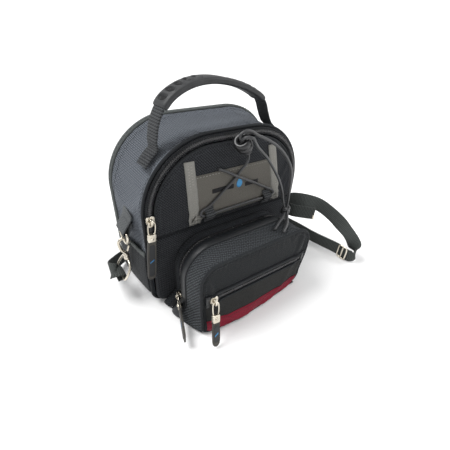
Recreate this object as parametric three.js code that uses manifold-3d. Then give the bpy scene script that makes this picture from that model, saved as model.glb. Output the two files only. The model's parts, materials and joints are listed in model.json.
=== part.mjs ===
// A portable oxygen concentrator in its soft carry bag.
// Millimetres, +Z up, -Y is the front of the bag, and the origin is the middle of the base's underside.
import * as THREE from "three";
import { mergeVertices } from "three/addons/utils/BufferGeometryUtils.js";
import Module from "manifold-3d";

const wasm = await Module();
wasm.setup();

// ---- Driving dimensions ----

const GAP = 0.3; // the least gap between two pieces
const PAST = 2; // how far a cutting tool runs past what it cuts
const DEPTH = 76; // main compartment, front to back
const FRONT_Y = -DEPTH / 2;
const BACK_Y = DEPTH / 2;
const WALL = 4; // padded fabric
const LIFT = 1.8; // the gusset's underside, above the base patch

// The bag's two outlines: straight sides, a wide arch on top, small corners at the foot.
const FRONT = { width: 214, top: 206, radius: 79, foot: 16, bottom: LIFT };
const BACK = { width: 232, top: 210, radius: 76, foot: 18, bottom: LIFT };

const COIL = 7; // width of a zip's closed coil
const COIL_THICK = 3.2;
const FLAP_FOOT = 104; // the main zip ends here, and the flap folds just below
const FLAP_THICK = 6;

const POCKET = { width: 160, top: 94, radius: 38, foot: 10, bottom: LIFT };
const POCKET_ZIP_Y = FRONT_Y - 24; // where the pocket's shell starts
const POCKET_FRONT_Y = FRONT_Y - 70;
const POCKET_WALL = 3.5;
const SLIT_Z = 50;

const HANDLE_WIDTH = 20;
const HANDLE_Y = -5; // the middle of the handle
const HANDLE_YAW = 0.12; // the handle lies a little askew, with its right end further back
const RING_AXIS_Z = 98; // the D-rings' bars
const RING_AXIS_X = 122;
const EYE_REACH = 10; // the snap hook's eye leans out this far
const EYE_BAR_Z = 35.5;
const STRAP_WIDTH = 20;
const STRAP_THICK = 1.8;

const UNIT = { width: 148, depth: 58, bottom: 8, top: 180, corner: 12, wall: 2.4 };

// ---- Materials ----

const finish = (color, roughness, metalness = 0) =>
  new THREE.MeshStandardMaterial({ color, roughness, metalness });

const look = {
  ballistic: finish(0x41454c, 0.85),
  textured: finish(0x2c2e32, 0.8),
  smooth: finish(0x33363b, 0.75),
  mesh: finish(0x24262a, 0.9),
  grey: finish(0x8e8b86, 0.7),
  red: finish(0x9c1f38, 0.8),
  webbing: finish(0x3a3d3e, 0.85),
  rubber: finish(0x3b3b3a, 0.6),
  coil: finish(0x1b1c1e, 0.6),
  cord: finish(0x141416, 0.7),
  plastic: finish(0x17181a, 0.45),
  metal: finish(0xb9b2a2, 0.3, 1),
  tab: finish(0x4a4945, 0.65),
  unitCase: finish(0xd9dcdf, 0.5),
  unitDark: finish(0x3b4046, 0.55),
  aluminium: finish(0xa9adb0, 0.4, 1),
  board: finish(0x1d5a38, 0.6),
  foam: finish(0x2a2b2d, 0.95),
};

// ---- Solids ----

// One closed mesh as a manifold-3d solid.
function solidOf(geometry) {
  const bare = geometry.clone();
  bare.deleteAttribute("normal");
  bare.deleteAttribute("uv");
  const merged = mergeVertices(bare, 1e-3);
  const mesh = new wasm.Mesh({
    numProp: 3,
    vertProperties: merged.attributes.position.array,
    triVerts: new Uint32Array(merged.index.array),
  });
  return new wasm.Manifold(mesh);
}

function geometryOf(solid) {
  const mesh = solid.getMesh();
  const geometry = new THREE.BufferGeometry();
  const position = new THREE.BufferAttribute(new Float32Array(mesh.vertProperties), 3);
  geometry.setAttribute("position", position);
  geometry.setIndex(new THREE.BufferAttribute(new Uint32Array(mesh.triVerts), 1));
  geometry.computeVertexNormals();
  return geometry;
}

const cut = (geometry, ...tools) =>
  geometryOf(tools.reduce((rest, tool) => rest.subtract(solidOf(tool)), solidOf(geometry)));

const join = (geometry, ...others) =>
  geometryOf(others.reduce((sum, other) => sum.add(solidOf(other)), solidOf(geometry)));

function signedVolume(positions, faces) {
  const [a, b, c] = [new THREE.Vector3(), new THREE.Vector3(), new THREE.Vector3()];
  let volume = 0;
  for (let i = 0; i < faces.length; i += 3) {
    a.fromArray(positions, faces[i] * 3);
    b.fromArray(positions, faces[i + 1] * 3);
    c.fromArray(positions, faces[i + 2] * 3);
    volume += a.dot(b.cross(c));
  }
  return volume;
}

// A skin over rings of equal count. An open row of rings is capped; a looped one joins its last to its first.
function loft(rings, looped = false) {
  const count = rings[0].length;
  const positions = rings.flat().flatMap((point) => point.toArray());
  const faces = [];
  const spans = looped ? rings.length : rings.length - 1;
  for (let i = 0; i < spans; i++) {
    const near = i * count;
    const far = ((i + 1) % rings.length) * count;
    for (let j = 0; j < count; j++) {
      const next = (j + 1) % count;
      faces.push(near + j, near + next, far + j, near + next, far + next, far + j);
    }
  }
  if (!looped) {
    const last = (rings.length - 1) * count;
    for (let j = 1; j < count - 1; j++) {
      faces.push(0, j + 1, j, last, last + j, last + j + 1);
    }
  }
  if (signedVolume(positions, faces) < 0) {
    for (let i = 0; i < faces.length; i += 3) {
      [faces[i + 1], faces[i + 2]] = [faces[i + 2], faces[i + 1]];
    }
  }
  const geometry = new THREE.BufferGeometry();
  geometry.setAttribute("position", new THREE.Float32BufferAttribute(positions, 3));
  geometry.setIndex(faces);
  geometry.computeVertexNormals();
  return geometry;
}

function box(low, high) {
  const size = high.map((value, i) => value - low[i]);
  const middle = high.map((value, i) => (value + low[i]) / 2);
  return new THREE.BoxGeometry(...size).translate(...middle);
}

// A cylinder from one point to another.
function rod(from, to, radius, sides = 20) {
  const [a, b] = [new THREE.Vector3(...from), new THREE.Vector3(...to)];
  const axis = b.clone().sub(a);
  const turn = new THREE.Quaternion().setFromUnitVectors(
    new THREE.Vector3(0, 1, 0),
    axis.clone().normalize(),
  );
  const middle = a.add(b).multiplyScalar(0.5);
  return new THREE.CylinderGeometry(radius, radius, axis.length(), sides)
    .applyQuaternion(turn)
    .translate(middle.x, middle.y, middle.z);
}

// ---- Outlines ----

const CORNER_STEPS = 9;
const FOOT_STEPS = 3;

// The outline of an arch, as a ring of points at one depth.
function archRing({ width, top, radius, foot, bottom }, y) {
  const corners = [
    [width / 2 - foot, bottom + foot, foot, -90, FOOT_STEPS],
    [width / 2 - radius, top - radius, radius, 0, CORNER_STEPS],
    [radius - width / 2, top - radius, radius, 90, CORNER_STEPS],
    [foot - width / 2, bottom + foot, foot, 180, FOOT_STEPS],
  ];
  return corners.flatMap(([x, z, r, start, steps]) =>
    Array.from({ length: steps + 1 }, (_, i) => {
      const angle = THREE.MathUtils.degToRad(start + (90 * i) / steps);
      return new THREE.Vector3(x + r * Math.cos(angle), y, z + r * Math.sin(angle));
    }),
  );
}

// The same arch drawn in by some millimetres all round.
const inset = (arch, by) => ({
  width: arch.width - 2 * by,
  top: arch.top - by,
  radius: arch.radius - by,
  foot: Math.max(arch.foot - by, 2),
  bottom: arch.bottom + by,
});

// An arch between two others.
const between = (a, b, share) =>
  Object.fromEntries(Object.keys(a).map((key) => [key, a[key] + (b[key] - a[key]) * share]));

const slab = (arch, from, to) => loft([archRing(arch, from), archRing(arch, to)]);

const below = (z) => box([-200, -200, -50], [200, 200, z]);
const above = (z) => box([-200, -200, z], [200, 200, 400]);

// An upside-down U between two arches, open at the foot.
const horseshoe = (outer, inner, from, to, foot) =>
  cut(slab(outer, from, to), slab(inner, Math.min(from, to) - PAST, Math.max(from, to) + PAST), below(foot));

// A rounded rectangle in the XZ plane, drawn out along Y.
function roundedBlock(width, bottom, top, corner, from, to) {
  return slab({ width, top, radius: corner, foot: corner, bottom }, from, to);
}

// ---- Sweeps ----

function tube(points, radius, sides, steps) {
  const path = new THREE.CatmullRomCurve3(points.map((p) => new THREE.Vector3(...p)));
  const section = new THREE.Shape(
    Array.from({ length: sides }, (_, i) => {
      const angle = (2 * Math.PI * i) / sides;
      return new THREE.Vector2(radius * Math.cos(angle), radius * Math.sin(angle));
    }),
  );
  return new THREE.ExtrudeGeometry(section, { steps, extrudePath: path, bevelEnabled: false });
}

// A flat band: its middle line and, at each point, the direction of its width.
function band(points, widths, width, thick, steps) {
  const path = new THREE.CatmullRomCurve3(points.map((p) => new THREE.Vector3(...p)));
  const across = new THREE.CatmullRomCurve3(widths.map((w) => new THREE.Vector3(...w)));
  const rings = Array.from({ length: steps + 1 }, (_, i) => {
    const t = i / steps;
    const middle = path.getPoint(t);
    const along = path.getTangent(t);
    const side = across.getPoint(t);
    side.addScaledVector(along, -side.dot(along)).setLength(width / 2);
    const out = side.clone().cross(along).setLength(thick / 2);
    return [
      middle.clone().add(side).add(out),
      middle.clone().sub(side).add(out),
      middle.clone().sub(side).sub(out),
      middle.clone().add(side).sub(out),
    ];
  });
  return loft(rings);
}

// A wire bent into a closed ring through points.
function wireRing(points, radius, sides, steps) {
  const path = new THREE.CatmullRomCurve3(points.map((p) => new THREE.Vector3(...p)), true, "catmullrom", 0.2);
  const frames = path.computeFrenetFrames(steps, true);
  const rings = Array.from({ length: steps }, (_, i) => {
    const middle = path.getPointAt(i / steps);
    return Array.from({ length: sides }, (_, j) => {
      const angle = (2 * Math.PI * j) / sides;
      return middle
        .clone()
        .addScaledVector(frames.normals[i], radius * Math.cos(angle))
        .addScaledVector(frames.binormals[i], radius * Math.sin(angle));
    });
  });
  return loft(rings, true);
}

// ---- Scene graph ----

const object = new THREE.Group();

function place(name, geometry, material, parent = object) {
  const mesh = new THREE.Mesh(geometry, material);
  mesh.name = name;
  parent.add(mesh);
  return mesh;
}

function groupAt(position, rotation = [0, 0, 0]) {
  const group = new THREE.Group();
  group.position.set(...position);
  group.rotation.set(...rotation.map(THREE.MathUtils.degToRad));
  object.add(group);
  return group;
}

// ---- The main compartment ----

function mainCompartment() {
  const stations = [0, 0.5, 1];
  const skin = (by, reach) =>
    loft(
      stations.map((share) => {
        const y = FRONT_Y + DEPTH * share + reach * (2 * share - 1);
        return archRing(inset(between(FRONT, BACK, share), by), y);
      }),
    );
  place("main_gusset", cut(skin(0, 0), skin(WALL, PAST)), look.ballistic);

  const backThick = 6;
  const panel = inset(BACK, -1);
  panel.bottom = LIFT;
  const crown = inset(panel, 4);
  const start = BACK_Y + GAP;
  place(
    "back_panel",
    loft([archRing(panel, start), archRing(panel, start + backThick), archRing(crown, start + backThick + 3)]),
    look.mesh,
  );

  place("base_panel", roundedPlate(98, FRONT_Y + 4, BACK_Y + 6, 14, 0, LIFT - GAP), look.textured);

  const sill = { ...inset(FRONT, 2), bottom: LIFT + 1 };
  place(
    "lower_front_panel",
    cut(slab(sill, FRONT_Y - GAP, FRONT_Y - GAP - FLAP_THICK), above(FLAP_FOOT - 4)),
    look.textured,
  );

  place(
    "main_zip_coil",
    horseshoe(inset(FRONT, 0.5), inset(FRONT, 0.5 + COIL), FRONT_Y - GAP, FRONT_Y - GAP - COIL_THICK, FLAP_FOOT),
    look.coil,
  );
}

// A flat plate with rounded corners, lying in the XY plane.
function roundedPlate(halfWidth, front, back, corner, from, to) {
  const centres = [
    [halfWidth - corner, back - corner],
    [corner - halfWidth, back - corner],
    [corner - halfWidth, front + corner],
    [halfWidth - corner, front + corner],
  ];
  const ring = (z) =>
    centres.flatMap(([x, y], quarter) =>
      Array.from({ length: 5 }, (_, i) => {
        const angle = THREE.MathUtils.degToRad(90 * quarter + 22.5 * i);
        return new THREE.Vector3(x + corner * Math.cos(angle), y + corner * Math.sin(angle), z);
      }),
    );
  return loft([ring(from), ring(to)]);
}

// ---- Side pockets, ring tabs, D-rings and snap hooks: one set on each side ----

// The gusset's half width at a depth, on its straight sides.
const halfWidthAt = (y) => between(FRONT, BACK, (y - FRONT_Y) / DEPTH).width / 2;

// An open-topped pocket of elastic mesh, sewn to the gusset along its foot and its two upright edges.
function sidePocket(side) {
  const [front, back] = [FRONT_Y + 7, BACK_Y - 3];
  const thick = 1.6;
  const levels = [
    [16, 1.5],
    [28, 3.8],
    [48, 4.5],
    [74, 2.6],
  ];
  const profile = (bulge, z, margin, out) => {
    const ys = Array.from({ length: 9 }, (_, i) => front + margin + ((back - front - 2 * margin) * i) / 8);
    const root = (y) => halfWidthAt(y) + GAP;
    const rise = (y) => bulge * (1 - ((2 * (y - front)) / (back - front) - 1) ** 2);
    const outer = ys.map((y) => new THREE.Vector3(side * (root(y) + rise(y) + out), y, z));
    const inner = [ys[8], ys[0]].map((y) => new THREE.Vector3(side * (root(y) - (out ? 0 : PAST)), y, z));
    return [...outer, ...inner];
  };
  const body = loft(levels.map(([z, bulge]) => profile(bulge, z, 0, thick)));
  const lifts = [thick, 0, 0, PAST];
  const hollow = loft(levels.map(([z, bulge], i) => profile(bulge, z + lifts[i], 3, 0)));
  place(side < 0 ? "side_pocket_left" : "side_pocket_right", cut(body, hollow), look.mesh);
}

function ringSet(side) {
  const label = side < 0 ? "left" : "right";
  const x = side * RING_AXIS_X;

  // The tab: a folded webbing loop with the D-ring's bar in its fold.
  const tabWidth = 24;
  const rootX = side * (halfWidthAt(tabWidth / 2) + GAP + 0.85);
  const fold = 3.4;
  const turn = Array.from({ length: 7 }, (_, i) => {
    const angle = THREE.MathUtils.degToRad(30 * i);
    return [x + side * fold * Math.cos(angle), 0, RING_AXIS_Z - fold * Math.sin(angle)];
  });
  const line = [[rootX, 0, 125], [rootX + side * 1.9, 0, 114.5], ...turn, [rootX, 0, 110.5]];
  place(`tab_${label}`, band(line, line.map(() => [0, 1, 0]), tabWidth, 1.5, 26), look.webbing);

  // The D-ring hangs in the fold, its bar along Y.
  const wire = 1.6;
  const drop = 17;
  const half = 14.5;
  const dee = [
    [x, -half + 1, RING_AXIS_Z],
    [x, 0, RING_AXIS_Z],
    [x, half - 1, RING_AXIS_Z],
    [x, half + 1, RING_AXIS_Z - 3],
    [x, half - 3, RING_AXIS_Z - 12],
    [x, 5, RING_AXIS_Z - drop],
    [x, -5, RING_AXIS_Z - drop],
    [x, 3 - half, RING_AXIS_Z - 12],
    [x, -half - 1, RING_AXIS_Z - 3],
  ];
  place(`d_ring_${label}`, wireRing(dee, wire, 8, 36), look.metal);

  // The snap hook: a hook round the D-ring's bow, a swivel barrel, and the strap's ring.
  const hookX = x + side * 1.5;
  const bowZ = RING_AXIS_Z - drop;
  const hookRadius = 6.2;
  const centreZ = bowZ - 1.5;
  const hookLine = Array.from({ length: 10 }, (_, i) => {
    const angle = THREE.MathUtils.degToRad(-35 + 25 * i);
    return [hookX - side * hookRadius * Math.cos(angle), 0, centreZ + hookRadius * Math.sin(angle)];
  });
  const barrelTop = centreZ - 17;
  const shank = [...hookLine, [hookX + side * 4.5, 0, centreZ - 10], [hookX, 0, barrelTop - 1]];
  const hook = tube(shank, 1.9, 8, 30);
  const nose = rod([hookX, 0, barrelTop], [hookX, 0, barrelTop - 9], 3.6, 16);
  const eye = wireRing(
    [
      [hookX, -9, barrelTop - 9],
      [hookX, 9, barrelTop - 9],
      [hookX + side * 2, 14, barrelTop - 14],
      [hookX + side * EYE_REACH, 14.6, EYE_BAR_Z],
      [hookX + side * EYE_REACH, 0, EYE_BAR_Z],
      [hookX + side * EYE_REACH, -14.6, EYE_BAR_Z],
      [hookX + side * 2, -14, barrelTop - 14],
    ],
    1.5,
    8,
    36,
  );
  place(`snap_hook_${label}`, join(hook, nose, eye), look.metal);

  // The gate closes the hook's mouth on the side of the bag.
  const gateTop = [hookX - side * 5.4, 0, centreZ - 6.6];
  const gateFoot = [hookX - side * 2.2, 0, barrelTop + 2.6];
  place(`hook_gate_${label}`, rod(gateTop, gateFoot, 1.3, 10), look.metal);
}

// ---- Handle ----

function handle() {
  const thick = 2.2;
  const at = ([px, pz]) => [px, HANDLE_Y + HANDLE_YAW * px, pz];
  const flat = (line) => line.map(() => [-HANDLE_YAW, 1, 0]);
  for (const side of [-1, 1]) {
    const rear = HANDLE_Y + HANDLE_YAW * side * 98 + HANDLE_WIDTH / 2;
    const arch = between(FRONT, BACK, (rear - FRONT_Y) / DEPTH);
    const reach = arch.radius + 4 * GAP + thick / 2;
    const anchorLine = [37, 41, 45, 49, 53].map((degrees) => {
      const angle = THREE.MathUtils.degToRad(degrees);
      const px = arch.width / 2 - arch.radius + reach * Math.cos(angle);
      return at([side * px, arch.top - arch.radius + reach * Math.sin(angle)]);
    });
    const label = side < 0 ? "left" : "right";
    place(`handle_anchor_${label}`, band(anchorLine, flat(anchorLine), HANDLE_WIDTH, thick, 14), look.webbing);
  }

  const whole = [
    [-82.2, 201.8],
    [-81.2, 206],
    [-79.7, 214],
    [-76.2, 223],
    [-71, 231.5],
    [-63.5, 239],
    [-50, 246.3],
    [-33, 250.8],
    [-11, 251.6],
    [14, 247.6],
    [37.8, 240.4],
    [56, 232],
    [65.5, 226],
    [71.3, 218.5],
    [75, 210.5],
    [77.6, 205.5],
    [79.3, 202],
  ].map(at);
  place("handle_webbing", band(whole, flat(whole), HANDLE_WIDTH, thick, 48), look.webbing);

  // The grip: a moulded rubber sleeve round the webbing's middle.
  const gripLine = whole.slice(4, -4);
  const sleeve = band(gripLine, flat(gripLine), HANDLE_WIDTH + 4, thick + 5.4, 28);
  const slotLine = whole.slice(3, -3);
  const slot = band(slotLine, flat(slotLine), HANDLE_WIDTH + 2 * GAP, thick + 2 * GAP, 80);
  const curve = new THREE.CatmullRomCurve3(gripLine.map((point) => new THREE.Vector3(...point)), false, "centripetal");
  const dimples = [0.06, 0.13, 0.2, 0.27, 0.34, 0.66, 0.73, 0.8, 0.87, 0.94].map((share) => {
    const middle = curve.getPointAt(share);
    const out = new THREE.Vector3(...flat([0])[0]).cross(curve.getTangentAt(share)).normalize();
    if (out.z < 0) out.negate();
    const reached = (lift) => middle.clone().addScaledVector(out, lift).toArray();
    return rod(reached(thick / 2 + 1.4), reached(12), 3.4, 12);
  });
  place("handle_grip", cut(sleeve, slot, ...dimples), look.rubber);
}

// ---- Front flap with its label, lace and cord lock ----

const FLAP = { ...inset(FRONT, COIL + 2), bottom: LIFT };
const PANEL_FRONT_Y = FRONT_Y - GAP - FLAP_THICK;
const LABEL_FRONT_Y = PANEL_FRONT_Y - GAP - 1.2;
const LACE_Y = PANEL_FRONT_Y - 5.7;
const LACE_RADIUS = 1.6;
const LOOP_Z = 118;

function frontFlap() {
  place("front_flap", cut(slab(FLAP, FRONT_Y - GAP, PANEL_FRONT_Y), below(FLAP_FOOT)), look.textured);

  // The grey patch: a label across the middle and a strip down each side.
  const patch = box([-64, LABEL_FRONT_Y, FLAP_FOOT + 2], [64, PANEL_FRONT_Y - GAP, 183]);
  const window = box([-52, PANEL_FRONT_Y - 10, 165], [52, PANEL_FRONT_Y + 10, 190]);
  const foot = box([-52, PANEL_FRONT_Y - 10, 90], [52, PANEL_FRONT_Y + 10, 115.5]);
  const label = cut(patch, window, foot);
  const lean = 0.13; // the label's sides lean to the right towards its foot
  label.translate(0, 0, -178).applyMatrix4(new THREE.Matrix4().makeShear(0, 0, 0, 0, -lean, 0)).translate(0, 0, 178);
  place("label_patch", label, look.grey);

  laceLoop("lace_loop_left", -35, LOOP_Z);
  laceLoop("lace_loop_right", 50, LOOP_Z);

  const lace = [
    [7.5, -57, 187],
    [10.8, -54.5, 180],
    [10.2, -52, 171.5],
    [5.6, -50.4, 163],
    [-1.5, LACE_Y, 154.5],
    [-14, LACE_Y, 143.5],
    [-27, LACE_Y, 133],
    [-36.5, LACE_Y, 126.8],
    [-45, LACE_Y, 125],
    [-49, LACE_Y, 121.6],
    [-45.5, LACE_Y, LOOP_Z + 0.3],
    [-35, LACE_Y, LOOP_Z],
    [0, LACE_Y, LOOP_Z],
    [50, LACE_Y, LOOP_Z],
    [60, LACE_Y, LOOP_Z + 0.3],
    [63.5, LACE_Y, 121.7],
    [60, LACE_Y, 125.6],
    [51.5, LACE_Y, 129],
    [26.4, LACE_Y - 2, 143.6],
    [0.8, LACE_Y - 4.4, 158],
    [-10, LACE_Y - 2, 164.6],
    [-20.9, LABEL_FRONT_Y - GAP - LACE_RADIUS, 169.8],
  ];
  place("bungee_lace", tube(lace, LACE_RADIUS, 8, 84), look.cord);
  cordLock();
}

// A short webbing tunnel that the lace runs through.
function laceLoop(name, x, z) {
  const reach = 7;
  const wall = 1.4;
  const back = PANEL_FRONT_Y - 1.5 - GAP;
  const [front, low, high] = [back - 8.6, z - 4.4, z + 4.4];
  const outer = box([x - reach, front, low], [x + reach, back, high]);
  const inner = box([x - reach - PAST, front + wall, low + wall], [x + reach + PAST, back - wall, high - wall]);
  place(name, cut(outer, inner), look.webbing);
}

const LOCK_TOP = [-8.5, FRONT_Y - 26, 205.3];
const LOCK_AXIS = new THREE.Vector3(0.62, 0.28, -0.733).normalize(); // from the lock's mouth to its button

// The cord lock: a barrel with a sprung plunger in its lower end.
function cordLock() {
  const radius = 9.6;
  const length = 15;
  const bore = 6;
  const boreDepth = 10;
  const profile = [
    [0, 0],
    [radius - 1.6, 0],
    [radius, -1.6],
    [radius, 1.2 - length],
    [radius - 1.2, -length],
    [bore, -length],
    [bore, boreDepth - length],
    [0, boreDepth - length],
  ];
  const lathe = (points, sides) =>
    new THREE.LatheGeometry(points.map(([r, z]) => new THREE.Vector2(r, z)).reverse(), sides).rotateX(Math.PI / 2);
  const group = groupAt(LOCK_TOP);
  group.quaternion.setFromUnitVectors(new THREE.Vector3(0, 0, -1), LOCK_AXIS);
  place("cord_lock", lathe(profile, 24), look.plastic, group);
  const foot = -length - 7;
  const plunger = [
    [0, boreDepth - length - 4.2],
    [bore - 0.4, boreDepth - length - 4.2],
    [bore - 0.4, foot + 1],
    [bore - 1.4, foot],
    [0, foot],
  ];
  place("cord_lock_plunger", lathe(plunger, 24), look.plastic, group);
}

// The lace's two free tails, from the cord lock to the knot that ties them, lying on the pocket.
const KNOT = [70, FRONT_Y - 30, 101.5];

function laceTails() {
  const near = [
    [-9.11, -66.04, 205.87],
    [-7.4, -68.2, 208.4],
    [-4.4, -70.9, 209.3],
    [-0.6, -73, 208.1],
    [3.2, -71.8, 203.7],
    [10.8, -69.4, 195.2],
    [24.4, -68.5, 182.6],
    [37.2, -68.5, 166.6],
    [48.9, -69, 148.9],
    [56.3, -69.5, 132.8],
    [61, -69, 119],
    [65.6, -68.2, 109.4],
  ];
  const far = [
    [-9.11, -62.34, 207.27],
    [-8.4, -62.6, 210.2],
    [-3.4, -63.4, 213],
    [2.2, -64.4, 212.8],
    [10.5, -65.5, 208],
    [26.4, -67, 200],
    [41.7, -68, 189.9],
    [53.6, -69.5, 177.5],
    [62.6, -71.4, 162.3],
    [65.4, -72, 146.3],
    [66.4, -72, 131.7],
    [68.4, -70.8, 118.5],
    [70.4, -68.8, 109.4],
  ];
  place("lace_tail_near", tube(near, LACE_RADIUS, 8, 40), look.cord);
  place("lace_tail_far", tube(far, LACE_RADIUS, 8, 44), look.cord);
  const [x, y, z] = KNOT;
  const ball = new THREE.SphereGeometry(5.2, 14, 10).scale(1.2, 1, 0.9).translate(x, y, z);
  const end = (points) => tube(points, LACE_RADIUS + 0.3, 8, 8);
  const ends = [
    end([[x, y, z], [x - 11, y - 8, z - 2], [x - 25, y - 15.5, z - 2.6], [x - 39, y - 23.5, z - 2.8]]),
    end([[x, y, z], [x - 7, y - 11, z - 2], [x - 19, y - 23, z - 2.6], [x - 33, y - 32, z - 2.8]]),
  ];
  place("lace_knot", join(ball, ...ends), look.cord);
}

// ---- Front pocket ----

function frontPocket() {
  const rear = FRONT_Y - GAP - FLAP_THICK - GAP;
  const coilStart = POCKET_ZIP_Y + 0.2 + 6;
  const rimDepth = 0.4;
  place(
    "pocket_gusset",
    cut(slab(POCKET, rear, coilStart + GAP), slab(inset(POCKET, 3), rear + PAST, coilStart - PAST)),
    look.textured,
  );
  place(
    "pocket_zip_coil",
    horseshoe(inset(POCKET, -0.8), inset(POCKET, COIL_THICK), coilStart, POCKET_ZIP_Y + rimDepth, 5),
    look.coil,
  );
  place(
    "pocket_floor",
    box([-70, FRONT_Y - 66, LIFT], [70, POCKET_ZIP_Y - 0.4, LIFT + 2.4]),
    look.textured,
  );

  // The shell: a puffed front with deep sides, open behind and below.
  const stations = [
    [0, inset(POCKET, -1.5)],
    [0.35, inset(POCKET, -3)],
    [0.85, { ...inset(POCKET, -1.5), radius: 32 }],
    [1, { ...inset(POCKET, 3), radius: 26 }],
  ];
  const depth = POCKET_ZIP_Y - POCKET_FRONT_Y;
  const skin = (by, behind, front) =>
    loft(
      stations.map(([share, arch], i) => {
        const y = POCKET_ZIP_Y - depth * share;
        const reach = i === 0 ? behind : 0;
        const back = i === stations.length - 1 ? front : 0;
        return archRing({ ...inset(arch, by), bottom: by ? -20 : 1.6 }, y + reach + back);
      }),
    );
  const sideFoot = box([-100, POCKET_FRONT_Y + POCKET_WALL + 1, -5], [100, POCKET_ZIP_Y + PAST, LIFT + 3.2]);
  place(
    "pocket_shell",
    cut(skin(0, 0, 0), skin(POCKET_WALL, PAST, POCKET_WALL), sideFoot),
    look.smooth,
  );

  const face = POCKET_FRONT_Y - GAP;
  place("slit_zip_coil", box([-70, face - 1.6, SLIT_Z - 3.5], [70, face, SLIT_Z + 3.5]), look.coil);
  place("red_trim", box([-68, face - 1, 10], [68, face, 24]), look.red);
}

// ---- Zip sliders and their pulls ----

const BRIDGE = 4.2; // how far the pull's bar stands off the slider's base

// A slider in its own frame: the zip runs along Z, and its plate faces -Y.
function sliderBody() {
  const outline = new THREE.Shape();
  outline.moveTo(-2.6, -6.5);
  outline.lineTo(2.6, -6.5);
  outline.quadraticCurveTo(4.1, 0, 4.1, 5);
  outline.quadraticCurveTo(2.2, 6.5, 0, 5);
  outline.quadraticCurveTo(-2.2, 6.5, -4.1, 5);
  outline.quadraticCurveTo(-4.1, 0, -2.6, -6.5);
  const plate = new THREE.ExtrudeGeometry(outline, { depth: 1.8, bevelEnabled: false, curveSegments: 5 });
  plate.rotateX(Math.PI / 2);
  const bridge = box([-1.3, -BRIDGE - 2.1, -4.6], [1.3, -1.2, 4.6]);
  const hole = box([-3, -BRIDGE - 1.4, -3.2], [3, -BRIDGE + 1.6, 3.2]);
  return join(plate, cut(bridge, hole));
}

// A flat ring with straight sides in the XZ plane, its upper bar on the X axis.
function linkRing(width, length, wire) {
  const outline = new THREE.Shape();
  const half = width / 2;
  outline.moveTo(-half, wire / 2);
  outline.lineTo(half, wire / 2);
  outline.lineTo(half, -length + 2);
  outline.lineTo(half - 2, -length);
  outline.lineTo(2 - half, -length);
  outline.lineTo(-half, 2 - length);
  const hole = new THREE.Path();
  const inner = half - wire;
  hole.moveTo(-inner, -wire / 2);
  hole.lineTo(-inner, wire * 1.6 - length);
  hole.lineTo(inner, wire * 1.6 - length);
  hole.lineTo(inner, -wire / 2);
  outline.holes.push(hole);
  return new THREE.ExtrudeGeometry(outline, { depth: wire, bevelEnabled: false })
    .rotateX(Math.PI / 2)
    .translate(0, wire / 2, 0);
}

const LINK_WIDTH = 8.6;
const LINK_LENGTH = 15;
const TAB_LENGTH = 49;

// The pull's link with the metal clamp that holds the rubber tab.
function pullLink() {
  const clamp = box([-4.6, -1.9, -LINK_LENGTH - 8], [4.6, 1.9, 1.5 - LINK_LENGTH]);
  const mouth = box([-6, -1.2, -LINK_LENGTH - 10], [6, 1.2, -LINK_LENGTH - 1.5]);
  return join(linkRing(LINK_WIDTH, LINK_LENGTH, 1.5), cut(clamp, mouth));
}

function pullTab(length) {
  const start = -LINK_LENGTH - 1.5 - GAP;
  const outline = new THREE.Shape();
  outline.moveTo(-4.3, start);
  outline.lineTo(4.3, start);
  outline.lineTo(5, start - 10);
  outline.lineTo(5, start - length + 4);
  outline.quadraticCurveTo(4, start - length, 0, start - length);
  outline.quadraticCurveTo(-4, start - length, -5, start - length + 4);
  outline.lineTo(-5, start - 10);
  return new THREE.ExtrudeGeometry(outline, { depth: 1.8, bevelEnabled: false, curveSegments: 5 })
    .rotateX(Math.PI / 2)
    .translate(0, 0.9, 0);
}

// A zip's slider and pull. The pull hangs from the slider's bridge, turned by `swing` degrees away from the
// plate and by `lean` degrees in the plate's own plane. A pull that lies right over on its side has slipped round
// in the bridge, so that it hangs by the link's side and not by its end.
function zip(name, position, yaw, swing, lean, { slipped = false, tabLength = TAB_LENGTH } = {}) {
  const group = groupAt(position, [0, 0, yaw]);
  place(`${name}_slider`, sliderBody(), look.metal, group);
  const pull = new THREE.Group();
  pull.position.set(0, -BRIDGE, 0);
  pull.rotation.set(THREE.MathUtils.degToRad(swing), THREE.MathUtils.degToRad(lean), 0, "YXZ");
  if (slipped) pull.translateX(LINK_WIDTH / 2 - 0.75).translateZ(3.8);
  group.add(pull);
  place(`${name}_pull_link`, pullLink(), look.metal, pull);
  place(`${name}_pull_tab`, pullTab(tabLength), look.tab, pull);
}

const MAIN_SLIDER = [-(FRONT.width / 2 - 0.5 - COIL / 2), FRONT_Y - GAP - COIL_THICK - GAP, FRONT.top - FRONT.radius];
const SLIT_SLIDER = [-66, POCKET_FRONT_Y - GAP - 1.6 - GAP, SLIT_Z];
const POCKET_SLIDER = [-(POCKET.width / 2 + 0.8 + GAP), POCKET_ZIP_Y + 4.3, 17];

function zips() {
  zip("main", MAIN_SLIDER, 0, 0, 5.5, { tabLength: 60 });
  zip("slit", SLIT_SLIDER, 0, -21, 12, { tabLength: 35.5 });
  zip("pocket", POCKET_SLIDER, -90, -19, -82, { slipped: true });
}

// ---- Shoulder strap ----

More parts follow.
